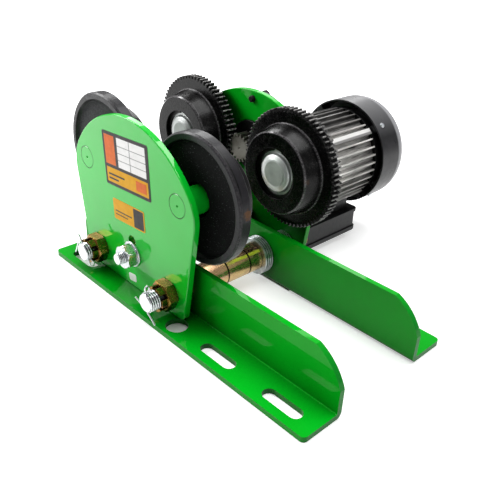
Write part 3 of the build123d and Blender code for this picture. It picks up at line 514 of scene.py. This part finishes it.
def print_ink(name, main, shade):
    """Printed film: even colour with a faint mottle under a satin face."""
    made = Shade(name, Specular_IOR_Level=0.12)
    made.base(made.mix(made.span(made.noise(240, 3), 0.35, 0.65), main, shade))
    made.set("Roughness", made.span(made.noise(120, 3), 0.3, 0.7, 0.32, 0.44))
    made.bump(made.noise(700, 2), 0.03, 0.0002)
    return made


black_plastic = plastic("black_plastic", srgb(13, 13, 14), srgb(19, 19, 21))
pale_plastic = plastic("pale_plastic", srgb(206, 204, 196), srgb(190, 188, 180))
ink_charcoal = print_ink("ink_charcoal", srgb(58, 56, 56), srgb(48, 46, 46))
ink_amber = print_ink("ink_amber", srgb(228, 168, 4), srgb(220, 158, 2))
ink_orange = print_ink("ink_orange", srgb(226, 112, 44), srgb(214, 102, 38))
ink_white = print_ink("ink_white", srgb(248, 247, 246), srgb(240, 239, 238))
ink_grey = print_ink("ink_grey", srgb(150, 148, 148), srgb(138, 136, 136))

# materials of the CAD nodes: by their slots, then those with a look of their own
shades = {
    "green_paint": green,
    "black_casting": black_casting,
    "bright_steel": bright_steel,
    "zinc_plate": zinc,
    "yellow_zinc_plate": yellow_zinc,
    "black_oxide_steel": black_oxide,
    "dark_aluminium": dark_aluminium,
    "lamination_steel": lamination,
    "enamelled_copper": copper,
    "dark_sheet": dark_sheet,
    "black_plastic": black_plastic,
    "pale_plastic": pale_plastic,
}


def wear(piece, shade):
    """Gives a piece, or a CAD node, one material."""
    piece.data.materials.clear()
    piece.data.materials.append(shade.material)


for entry in frame["record"]["subparts"]:
    wear(nodes[entry["node"]], shades[entry["material_slot"]])
for name in ("plate_idle_side", "axle_idle_left", "axle_idle_right"):
    wear(nodes[name], plate_green)
for name in ("rail_idle_side", "rail_drive_side"):
    wear(nodes[name], rail_green)
for name in ("gear_housing", "front_shield", "rear_shield"):
    wear(nodes[name], black_casting)

# the left idle wheel's dish is painted paler, as dust and a painted sheen, and the left wheels' caps are
# painted duller, as painted shade
DISH_TONE_AND_SHEEN = {"left": srgb(74, 73, 76), "right": srgb(8, 8, 9)}
CAP_LIGHT_LEVEL = {"left": 0.84, "right": 1.0}
for side, x in zip(SIDES, WHEEL_X):
    idle_black = idle_enamel("wheel_idle_" + side, x, DISH_TONE_AND_SHEEN[side])
    drive_black = drive_enamel("wheel_drive_" + side, x)
    if side == "right":
        rust(idle_black, (x + 0.0552, -0.0400, 0.1182), size=0.0050, depth=0.8)
        rust(drive_black, (x + 0.0380, 0.0450, 0.1165), size=0.0032, depth=0.2)
    wear(nodes["wheel_idle_" + side], idle_black)
    wear(nodes["wheel_drive_" + side], drive_black)
    drawn_zinc = cap_zinc("cap_zinc_" + side, x, CAP_LIGHT_LEVEL[side])
    for wheel in ("idle", "drive"):
        wear(nodes["cap_%s_%s" % (wheel, side)], drawn_zinc)
        wear(nodes["nut_%s_%s" % (wheel, side)], nut_zinc)
washers = washer_zinc("washer_zinc")
for side, x in zip(SIDES, ROD_X):
    tube_zinc = spacer_zinc("spacer_zinc_" + side, x)
    for place in ("idle", "long", "middle", "short"):
        wear(nodes["spacer_%s_%s" % (place, side)], tube_zinc)
    wear(nodes["spacer_drive_" + side], zinc)
    wear(nodes["washer_" + side], washers)

# new pieces: their meshes are made in the part's frame and ride on a body
SHARP_ANGLE = math.radians(35)
HEXAGON_STEPS = 72
SMALL_STEPS = 28
THREAD_ROWS = 8


def keep(name, mesh, shade, body="frame"):
    """Links a mesh as a piece of the object and ties it to its body."""
    mesh.shade_smooth()
    mesh.set_sharp_from_angle(angle=SHARP_ANGLE)
    piece = bpy.data.objects.new(name, mesh)
    scene.collection.objects.link(piece)
    wear(piece, shade)
    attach(piece, body)
    return piece


def close(work, mesh):
    """Turns the faces of a bmesh outwards, and makes it the mesh."""
    bmesh.ops.recalc_face_normals(work, faces=work.faces)
    work.to_mesh(mesh)
    work.free()


class Form:
    """Closed solids along local Y, set at one place."""

    def __init__(self, place):
        self.place = place
        self.points = []
        self.faces = []

    def rings(self, levels, radius, steps):
        """Adds a solid with a ring of points at each level along local Y."""
        first = len(self.points)
        last = first + (len(levels) - 1) * steps
        for level, along in enumerate(levels):
            for step in range(steps):
                angle = 2 * math.pi * step / steps
                reach = radius(level, angle)
                spot = Vector((reach * math.cos(angle), along, reach * math.sin(angle)))
                self.points.append(tuple(self.place @ spot))
        for here in range(first, last, steps):
            for step in range(steps):
                after = (step + 1) % steps
                self.faces.append((here + step, here + steps + step, here + steps + after, here + after))
        self.faces.append(tuple(range(first, first + steps)))
        self.faces.append(tuple(reversed(range(last, last + steps))))

    def lathe(self, profile, steps=40):
        """Adds a solid of revolution; profile is (radius, along) from one end to the other."""
        self.rings([along for _, along in profile], lambda level, angle: profile[level][0], steps)

    def hexagon(self, flats, start, end, chamfer):
        """Adds a hexagon head or nut with both ends turned off at the corners."""
        half_flat = flats / 2
        corner = half_flat / math.cos(math.pi / 6)
        sense = 1 if end > start else -1
        rows = [
            (start, half_flat),
            (start + sense * chamfer / 2, (half_flat + corner) / 2),
            (start + sense * chamfer, corner),
            (end - sense * chamfer, corner),
            (end - sense * chamfer / 2, (half_flat + corner) / 2),
            (end, half_flat),
        ]

        def reach(level, angle):
            turned = (angle + math.pi / 6) % (math.pi / 3) - math.pi / 6
            return min(half_flat / math.cos(turned), rows[level][1])

        self.rings([along for along, _ in rows], reach, HEXAGON_STEPS)

    def shank(self, start, end, threads, crest, root, pitch, chamfer, steps=44):
        """Adds a round bar, chamfered at both ends, with screw threads over the given ranges."""
        stops = {start, end, start + chamfer, end - chamfer}
        for low, high in threads:
            count = max(4, round((high - low) / pitch * THREAD_ROWS))
            stops.update(low + (high - low) * row / count for row in range(count + 1))
        levels = sorted(round(stop, 7) for stop in stops)

        def reach(level, angle):
            along = levels[level]
            limit = crest - max(0.0, chamfer - min(along - start, end - along))
            if not any(low - 1e-6 <= along <= high + 1e-6 for low, high in threads):
                return limit
            # a sawtooth up and down along the helix, with its tips and roots cut flat
            wave = (along / pitch + angle / (2 * math.pi)) % 1.0
            height = min(1.0, max(0.0, 1.5 * (1 - abs(2 * wave - 1)) - 0.25))
            return min(limit, root + (crest - root) * height)

        self.rings(levels, reach, steps)

    def keep(self, name, shade, slot_name):
        """Makes the solids one piece of the object."""
        mesh = bpy.data.meshes.new(name)
        mesh.from_pydata(self.points, [], self.faces)
        mesh.update()
        work = bmesh.new()
        work.from_mesh(mesh)
        close(work, mesh)
        return keep(name, mesh, shade)


def stood(place, along):
    """Matrix that stands local Y along a direction, at a place."""
    turn = Vector((0, 1, 0)).rotation_difference(Vector(along).normalized())
    return Matrix.Translation(Vector(place)) @ turn.to_matrix().to_4x4()


def around(x, z, distance, degrees):
    """Matrix for a place at a distance and angle from the line along Y through x, z."""
    angle = math.radians(degrees)
    return Matrix.Translation((x + distance * math.cos(angle), 0, z + distance * math.sin(angle)))


def wire(name, path, radius):
    """Mesh of a round wire along a smooth curve by the given points."""
    data = bpy.data.curves.new(name, "CURVE")
    data.dimensions = "3D"
    data.bevel_depth = radius
    data.bevel_resolution = 3
    data.use_fill_caps = True
    spline = data.splines.new("NURBS")
    spline.points.add(len(path) - 1)
    for point, place in zip(spline.points, path):
        point.co = (*place, 1.0)
    spline.order_u = 3
    spline.use_endpoint_u = True
    spline.resolution_u = 6
    curve = bpy.data.objects.new(name + "_path", data)
    scene.collection.objects.link(curve)
    mesh = bpy.data.meshes.new_from_object(curve.evaluated_get(bpy.context.evaluated_depsgraph_get()))
    bpy.data.objects.remove(curve)
    return mesh


# cross shafts, threaded at both ends
ROD_IDLE_END = {"left": -0.0855, "right": -0.0902}
ROD_DRIVE_END = 0.103
ROD_IDLE_THREAD, ROD_DRIVE_THREAD = -0.0795, 0.0998
ROD_CREST, ROD_ROOT, ROD_PITCH, ROD_CHAMFER = 0.009, 0.0078, 0.0022, 0.0012
ROD_GROOVE_SHADE = (0.0080, 0.0088)
for side, x in zip(SIDES, ROD_X):
    idle_end = ROD_IDLE_END[side]
    threads = [(idle_end, ROD_IDLE_THREAD), (ROD_DRIVE_THREAD, ROD_DRIVE_END)]
    form = Form(Matrix.Translation((x, 0, ROD_Z)))
    form.shank(idle_end, ROD_DRIVE_END, threads, ROD_CREST, ROD_ROOT, ROD_PITCH, ROD_CHAMFER)
    plated = thread_zinc("rod_zinc_" + side, x, ROD_Z, *ROD_GROOVE_SHADE, idle_end, ROD_DRIVE_END)
    rod = form.keep("rod_threaded_" + side, plated, "zinc_plate")
    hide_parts("cross_shaft_" + side)

# split pins through the rods' ends, in millimetres but for the wire's radius
PIN_WIRE_RADIUS = 0.00078
PIN_HALF_GAP = 0.85
PIN_BEND = 9.2
PIN_EYE = [
    (-9.4, 0.85), (-11.2, 1.9), (-14.2, 2.3), (-16.2, 0.0), (-14.2, -2.3), (-11.2, -1.9), (-9.4, -0.85)
]


def split_pin(name, centre, degrees, leg_a, leg_b):
    """Split pin through a rod. The angle is of the way from its eye to its legs, about Y from +X to +Z.
    The legs are (along, aside) points in millimetres from the rod's axis, from the rod out to the tip."""
    angle = math.radians(degrees)
    along = Vector((math.cos(angle), 0, math.sin(angle)))
    aside = Vector((-math.sin(angle), 0, math.cos(angle)))
    middle = Vector(centre)

    def spot(forward, sideways, across):
        return tuple(middle + (along * forward + aside * sideways + Vector((0, 1, 0)) * across) / 1000)

    path = [spot(*point, PIN_HALF_GAP) for point in reversed(leg_a)]
    path.append(spot(PIN_BEND, 0, PIN_HALF_GAP))
    path += [spot(forward, 0, across) for forward, across in PIN_EYE]
    path.append(spot(PIN_BEND, 0, -PIN_HALF_GAP))
    path += [spot(*point, -PIN_HALF_GAP) for point in leg_b]
    keep(name, wire(name, path, PIN_WIRE_RADIUS), zinc)


split_pin(
    "split_pin_idle_right",
    (ROD_X[1] - 0.0006, -0.0868, ROD_Z),
    -90,
    [(10.6, -0.8), (10.2, -5), (8.2, -11), (5.2, -19.5)],
    [(11.0, 0.8), (12.6, 3.5), (15.4, 7.5), (18.2, 10.6)],
)
split_pin(
    "split_pin_idle_left",
    (ROD_X[0], -0.0822, ROD_Z),
    139.4,
    [(10.8, -0.8), (13.0, -1.6), (17.8, -2.6)],
    [(10.6, 0.8), (11.6, 4.0), (9.6, 10.0), (8.4, 17.0)],
)
for side, x in zip(SIDES, ROD_X):
    split_pin(
        "split_pin_drive_" + side,
        (x, 0.0983, ROD_Z),
        90,
        [(11.2, -0.8), (12.2, -3.5), (11.6, -8.0)],
        [(11.2, 0.8), (12.2, 3.5), (11.6, 8.0)],
    )

# bolts that tie each plate to its rail through the plate's slot
BOLT_Z = 0.040
BOLT_CREST, BOLT_ROOT, BOLT_PITCH, BOLT_CHAMFER = 0.0054, 0.0047, 0.0015, 0.0008
BOLT_GROOVE_SHADE = (0.0048, 0.0053)
BOLT_HEAD_FLATS, BOLT_HEAD_HEIGHT, BOLT_HEAD_CHAMFER = 0.017, 0.0062, 0.001
BOLT_NUT_FLATS, BOLT_NUT_HEIGHT, BOLT_NUT_CHAMFER = 0.0205, 0.0095, 0.0012
BOLT_WASHER_THICKNESS = 0.0017
BOLT_SLEEVE_RADIUS, BOLT_SLEEVE_CHAMFER = 0.008, 0.0004
IN_HEAD, IN_NUT = 0.001, 0.0005
for side, sense, plate_inside, plate_face, tip in (
    ("idle", -1, IDLE_IN, IDLE_OUT, -0.0815),
    ("drive", 1, DRIVE_IN, DRIVE_OUT, 0.1045),
):
    at_bolt = Matrix.Translation((TROLLEY_X, 0, BOLT_Z))
    rail_face = sense * RAIL_INSIDE
    rail_outside = rail_face + sense * RAIL_THICKNESS
    head_top = rail_face - sense * BOLT_HEAD_HEIGHT
    nut_face = plate_face + sense * BOLT_WASHER_THICKNESS
    nut_end = nut_face + sense * BOLT_NUT_HEIGHT
    low, high = sorted((head_top + sense * IN_HEAD, tip))
    thread = tuple(sorted((nut_end - sense * IN_NUT, tip)))
    form = Form(at_bolt)
    form.shank(low, high, [thread], BOLT_CREST, BOLT_ROOT, BOLT_PITCH, BOLT_CHAMFER)
    plated = thread_zinc("bolt_zinc_" + side, TROLLEY_X, BOLT_Z, *BOLT_GROOVE_SHADE, low, high)
    form.keep("plate_bolt_" + side, plated, "zinc_plate")
    form = Form(at_bolt)
    form.hexagon(BOLT_HEAD_FLATS, rail_face, head_top, BOLT_HEAD_CHAMFER)
    form.keep("plate_bolt_head_" + side, zinc, "zinc_plate")
    form = Form(at_bolt)
    form.hexagon(BOLT_NUT_FLATS, nut_face, nut_end, BOLT_NUT_CHAMFER)
    form.keep("plate_nut_" + side, zinc, "zinc_plate")
    form = Form(at_bolt)
    form.lathe([
        (0.0119, plate_face),
        (0.0123, plate_face + sense * 0.0003),
        (0.0123, plate_face + sense * 0.0013),
        (0.0118, nut_face),
    ])
    form.keep("plate_washer_" + side, zinc, "zinc_plate")
    form = Form(at_bolt)
    form.lathe([
        (BOLT_SLEEVE_RADIUS - BOLT_SLEEVE_CHAMFER, rail_outside),
        (BOLT_SLEEVE_RADIUS, rail_outside + sense * BOLT_SLEEVE_CHAMFER),
        (BOLT_SLEEVE_RADIUS, plate_inside - sense * BOLT_SLEEVE_CHAMFER),
        (BOLT_SLEEVE_RADIUS - BOLT_SLEEVE_CHAMFER, plate_inside),
    ])
    form.keep("plate_sleeve_" + side, yellow_zinc, "yellow_zinc_plate")

# bolts and studs of the gear housing: tips through the plate, heads where its flange is free
HOUSING_BOLT_DISTANCE = 0.046
HOUSING_BOLT_TIP, HOUSING_THREAD_END, HOUSING_FLANGE_Y = 0.0755, 0.0788, 0.093
HOUSING_THREAD = [(HOUSING_BOLT_TIP, HOUSING_THREAD_END)]
HEADED_BOLTS = (1, 2)
for turn in range(4):
    form = Form(around(TROLLEY_X, WHEEL_Z, HOUSING_BOLT_DISTANCE, 90 * turn))
    if turn in HEADED_BOLTS:
        form.hexagon(flats=0.010, start=HOUSING_FLANGE_Y, end=0.0975, chamfer=0.0007)
    form.shank(
        HOUSING_BOLT_TIP,
        HOUSING_FLANGE_Y,
        HOUSING_THREAD,
        crest=0.0031,
        root=0.0026,
        pitch=0.001,
        chamfer=0.0006,
        steps=SMALL_STEPS,
    )
    form.keep("housing_bolt_%d" % turn, black_oxide, "black_oxide_steel")

# long bolts of the motor, where the gear housing leaves their heads free
MOTOR_BOLT_DISTANCE = 0.0455
for turn in (0, 2, 3):
    form = Form(around(MOTOR_X, MOTOR_Z, MOTOR_BOLT_DISTANCE, LUG_ANGLE + 90 * turn))
    form.hexagon(flats=0.007, start=0.113, end=0.1102, chamfer=0.0005)
    form.keep("motor_bolt_%d" % turn, zinc, "zinc_plate")

# screws round the fan cowl, and under the terminal box's lid
COWL_RADIUS, COWL_SCREW_Y = 0.0554, 0.199
COWL_SCREW = [
    (0.0027, 0.0), (0.0027, 0.0006), (0.0023, 0.0013), (0.0013, 0.0016), (0.0011, 0.0016), (0.0010, 0.0009)
]
for turn in range(4):
    angle = math.radians(LUG_ANGLE + 90 * turn)
    out = (math.cos(angle), 0, math.sin(angle))
    form = Form(stood((MOTOR_X + COWL_RADIUS * out[0], COWL_SCREW_Y, MOTOR_Z + COWL_RADIUS * out[2]), out))
    form.lathe(COWL_SCREW, SMALL_STEPS)
    form.keep("cowl_screw_%d" % turn, zinc, "zinc_plate")
LID_BOTTOM = 0.006
LID_SCREW = [(0.0028, 0.0), (0.0028, 0.0005), (0.0022, 0.0012), (0.0012, 0.0014), (0.0010, 0.0008)]
LID_SCREW_PLACES = ((-0.059, 0.1115), (-0.011, 0.1115), (-0.059, 0.182), (-0.011, 0.182))
for index, (x, y) in enumerate(LID_SCREW_PLACES):
    form = Form(stood((x, y, LID_BOTTOM), (0, 0, -1)))
    form.lathe(LID_SCREW, SMALL_STEPS)
    form.keep("lid_screw_%d" % index, zinc, "zinc_plate")

# gland of the terminal box, for its supply lead
GLAND_PLACE = (-0.048, 0.1885, 0.0205)
GLAND_BODY = [
    (0.0072, 0.0038),
    (0.0072, 0.0050),
    (0.0066, 0.0055),
    (0.0066, 0.0100),
    (0.0058, 0.0126),
    (0.0042, 0.0134),
    (0.0036, 0.0134),
    (0.0034, 0.0080),
]
form = Form(stood(GLAND_PLACE, (0, 1, 0)))
form.hexagon(flats=0.016, start=0.0, end=0.0042, chamfer=0.0006)
form.lathe(GLAND_BODY)
form.keep("lead_gland", black_plastic, "black_plastic")

# plain printed plates and stickers on the idle side's plate
LABEL_THICKNESS = 0.00022
LABEL_CORNER = 0.0016
LABEL_BEND = [(0, 1), (0.3, 0.3), (1, 0)]
PRINT_LIFT = 0.00002


def sticker(name, centre, degrees, size, ground, blocks):
    """Thin rounded panel on the plate's face.
    Blocks are (left, low, right, high, shade) in parts of its size, each lifted above those before it."""
    width, height = size
    shades_used = [ground]
    work = bmesh.new()
    turn = Matrix.Rotation(-math.radians(degrees), 4, "Y")
    place = Matrix.Translation((centre[0], IDLE_OUT, centre[1])) @ turn

    def panel(left, low, right, high, rise, shade, round_off=0.0):
        corners = []
        for x, z, sx, sz in (
            (left, low, 1, 1), (right, low, -1, 1), (right, high, -1, -1), (left, high, 1, -1)
        ):
            bend = LABEL_BEND if round_off else [(0, 0)]
            if sx * sz < 0:
                bend = reversed(bend)
            corners += [(x + sx * round_off * a, z + sz * round_off * b) for a, b in bend]
        front = [work.verts.new(place @ Vector((x, -rise, z))) for x, z in corners]
        rear = [work.verts.new(place @ Vector((x, 0.0, z))) for x, z in corners]
        faces = [work.faces.new(front), work.faces.new(list(reversed(rear)))]
        for step in range(len(corners)):
            after = (step + 1) % len(corners)
            faces.append(work.faces.new((front[step], rear[step], rear[after], front[after])))
        for face in faces:
            face.material_index = shades_used.index(shade)

    panel(-width / 2, -height / 2, width / 2, height / 2, LABEL_THICKNESS, ground, LABEL_CORNER)
    for layer, (left, low, right, high, shade) in enumerate(blocks):
        if shade not in shades_used:
            shades_used.append(shade)
        panel(
            (left - 0.5) * width,
            (low - 0.5) * height,
            (right - 0.5) * width,
            (high - 0.5) * height,
            LABEL_THICKNESS + PRINT_LIFT * (1 + layer),
            shade,
        )
    mesh = bpy.data.meshes.new(name)
    close(work, mesh)
    piece = bpy.data.objects.new(name, mesh)
    scene.collection.objects.link(piece)
    for shade in shades_used:
        mesh.materials.append(shade.material)
    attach(piece, "frame")


LABEL_TILT = 3.6
table_rows = [(0.33, 0.397 + 0.13 * row, 0.94, 0.409 + 0.13 * row, ink_grey) for row in range(1, 4)]
sticker(
    "rating_plate",
    centre=(TROLLEY_X - 0.0028, 0.1247),
    degrees=LABEL_TILT,
    size=(0.0672, 0.0488),
    ground=ink_charcoal,
    blocks=[
        (0.04, 0.06, 0.96, 0.34, ink_amber),
        (0.04, 0.40, 0.27, 0.94, ink_orange),
        (0.33, 0.40, 0.94, 0.94, ink_white),
        *table_rows,
        (0.598, 0.40, 0.608, 0.94, ink_grey),
        (0.08, 0.12, 0.30, 0.15, ink_charcoal),
        (0.08, 0.20, 0.44, 0.23, ink_charcoal),
        (0.70, 0.11, 0.92, 0.29, ink_orange),
    ],
)
sticker(
    "small_plate",
    centre=(TROLLEY_X - 0.0026, 0.0780),
    degrees=LABEL_TILT,
    size=(0.0478, 0.0200),
    ground=ink_amber,
    blocks=[
        (0.66, 0.06, 0.97, 0.94, ink_charcoal),
        (0.06, 0.40, 0.60, 0.46, ink_charcoal),
        (0.06, 0.24, 0.46, 0.29, ink_charcoal),
    ],
)
sticker(
    "blank_sticker",
    centre=(TROLLEY_X - 0.0019, 0.0141),
    degrees=9,
    size=(0.0116, 0.0077),
    ground=ink_white,
    blocks=[],
)

# floor, light and camera
WHITE = (1, 1, 1, 1)
FLOOR_GREY = (0.82, 0.82, 0.82, 1)
FLOOR_HALF, FLOOR_Z = 3.0, -0.0002
GLOW_NEAR, GLOW_FAR, GLOW_LEAST = 0.25, 0.6, 0.48
UNDER_RAILS_X = (-0.165, 0.030)
UNDER_RAILS_Y = (0.047, 0.084)
SKY_LIGHT, SKY_GLOSS = 0.12, 0.35


def shown_to(made, gloss):
    """1 for rays from the camera or through glass, and the given amount for those by way of gloss."""
    path = made.add("ShaderNodeLightPath")
    total = path.outputs["Is Camera Ray"]
    for kind, share in (("Is Glossy Ray", gloss), ("Is Transmission Ray", 1.0)):
        total = made.maths("MAXIMUM", total, made.times(path.outputs[kind], share))
    return total


floor_mesh = bpy.data.meshes.new("floor")
floor_mesh.from_pydata(
    [(FLOOR_HALF * x, FLOOR_HALF * y, FLOOR_Z) for x, y in ((-1, -1), (1, -1), (1, 1), (-1, 1))],
    [],
    [(0, 1, 2, 3)],
)
floor = bpy.data.objects.new("floor", floor_mesh)
scene.collection.objects.link(floor)
floor_paint = Shade("floor_paint", Base_Color=FLOOR_GREY, Roughness=0.6)
wear(floor, floor_paint)
away = floor_paint.add("ShaderNodeVectorMath", operation="LENGTH")
floor_paint.put(floor_paint.place, away.inputs[0])
amount = floor_paint.span(away.outputs["Value"], GLOW_NEAR, GLOW_FAR, GLOW_LEAST, 1.0)

# under the rails' ends that carry the trolley, the floor has no glow of its own: painted shade, seen
# through the rails' holes
along = floor_paint.axis("X")
aside = floor_paint.maths("ABSOLUTE", floor_paint.axis("Y"))
clear = 0.0
for value, operation, limit in (
    (aside, "LESS_THAN", UNDER_RAILS_Y[0]),
    (aside, "GREATER_THAN", UNDER_RAILS_Y[1]),
    (along, "LESS_THAN", UNDER_RAILS_X[0]),
    (along, "GREATER_THAN", UNDER_RAILS_X[1]),
):
    clear = floor_paint.maths("MAXIMUM", clear, floor_paint.maths(operation, value, limit))
glow = floor_paint.add("ShaderNodeEmission")
floor_paint.put(WHITE, glow.inputs["Color"])
floor_paint.put(floor_paint.times(shown_to(floor_paint, 1.0), clear, amount), glow.inputs["Strength"])
both = floor_paint.add("ShaderNodeAddShader")
floor_paint.put(floor_paint.shader.outputs[0], both.inputs[0])
floor_paint.put(glow.outputs[0], both.inputs[1])

# from below, the floor is clear
below = floor_paint.add("ShaderNodeMixShader")
floor_paint.put(floor_paint.add("ShaderNodeNewGeometry").outputs["Backfacing"], below.inputs[0])
floor_paint.put(both.outputs[0], below.inputs[1])
floor_paint.put(floor_paint.add("ShaderNodeBsdfTransparent").outputs[0], below.inputs[2])
floor_paint.put(below.outputs[0], floor_paint.tree.nodes["Material Output"].inputs["Surface"])

# the sky is white to look at, and lights the object only a little
world = bpy.data.worlds.new("studio")
scene.world = world
world.use_nodes = True
sky = Nodes(world.node_tree)
background = sky.tree.nodes["Background"]
sky.put(WHITE, background.inputs["Color"])
sky.put(sky.span(shown_to(sky, SKY_GLOSS), 0.0, 1.0, SKY_LIGHT, 1.0), background.inputs["Strength"])


def lamp(name, place, target, size, power):
    """Area lamp that shines from a place towards a target."""
    data = bpy.data.lights.new(name, "AREA")
    data.shape = "RECTANGLE"
    data.size, data.size_y = size
    data.energy = power
    made = bpy.data.objects.new(name, data)
    scene.collection.objects.link(made)
    made.location = place
    made.rotation_mode = "QUATERNION"
    made.rotation_quaternion = (Vector(target) - Vector(place)).to_track_quat("-Z", "Y")


lamp("key", (-1.0, -0.5, 0.7), (0, 0, 0.08), (0.6, 0.5), 14.5)
lamp("top", (0.05, 0.25, 1.2), (0, 0, 0.05), (0.9, 0.9), 16)
lamp("side", (1.05, 0.15, 0.55), (0, 0, 0.08), (0.15, 0.15), 1.2)
lamp("back", (-1.1, 1.1, 0.95), (0, 0, 0.1), (0.9, 0.6), 9)

# camera fitted to the photograph
CAMERA_PLACE = (0.36148, -0.33725, 0.32747)
AZIMUTH, ELEVATION, ROLL = (math.radians(angle) for angle in (45.16, 29.38, 2.78))
LENS, SENSOR = 45.37, 36.0
back = Vector(
    (
        math.sin(AZIMUTH) * math.cos(ELEVATION),
        -math.cos(AZIMUTH) * math.cos(ELEVATION),
        math.sin(ELEVATION),
    )
)
level_right = Vector((math.cos(AZIMUTH), math.sin(AZIMUTH), 0))
level_up = back.cross(level_right)
right = math.cos(ROLL) * level_right + math.sin(ROLL) * level_up
up = math.cos(ROLL) * level_up - math.sin(ROLL) * level_right
camera_data = bpy.data.cameras.new("camera")
camera_data.sensor_width = SENSOR
camera_data.lens = LENS
camera_data.clip_start = 0.01
camera = bpy.data.objects.new("camera", camera_data)
scene.collection.objects.link(camera)
camera.matrix_world = Matrix((*zip(right, up, back, CAMERA_PLACE), (0, 0, 0, 1)))
scene.camera = camera
scene.view_settings.view_transform = "Standard"
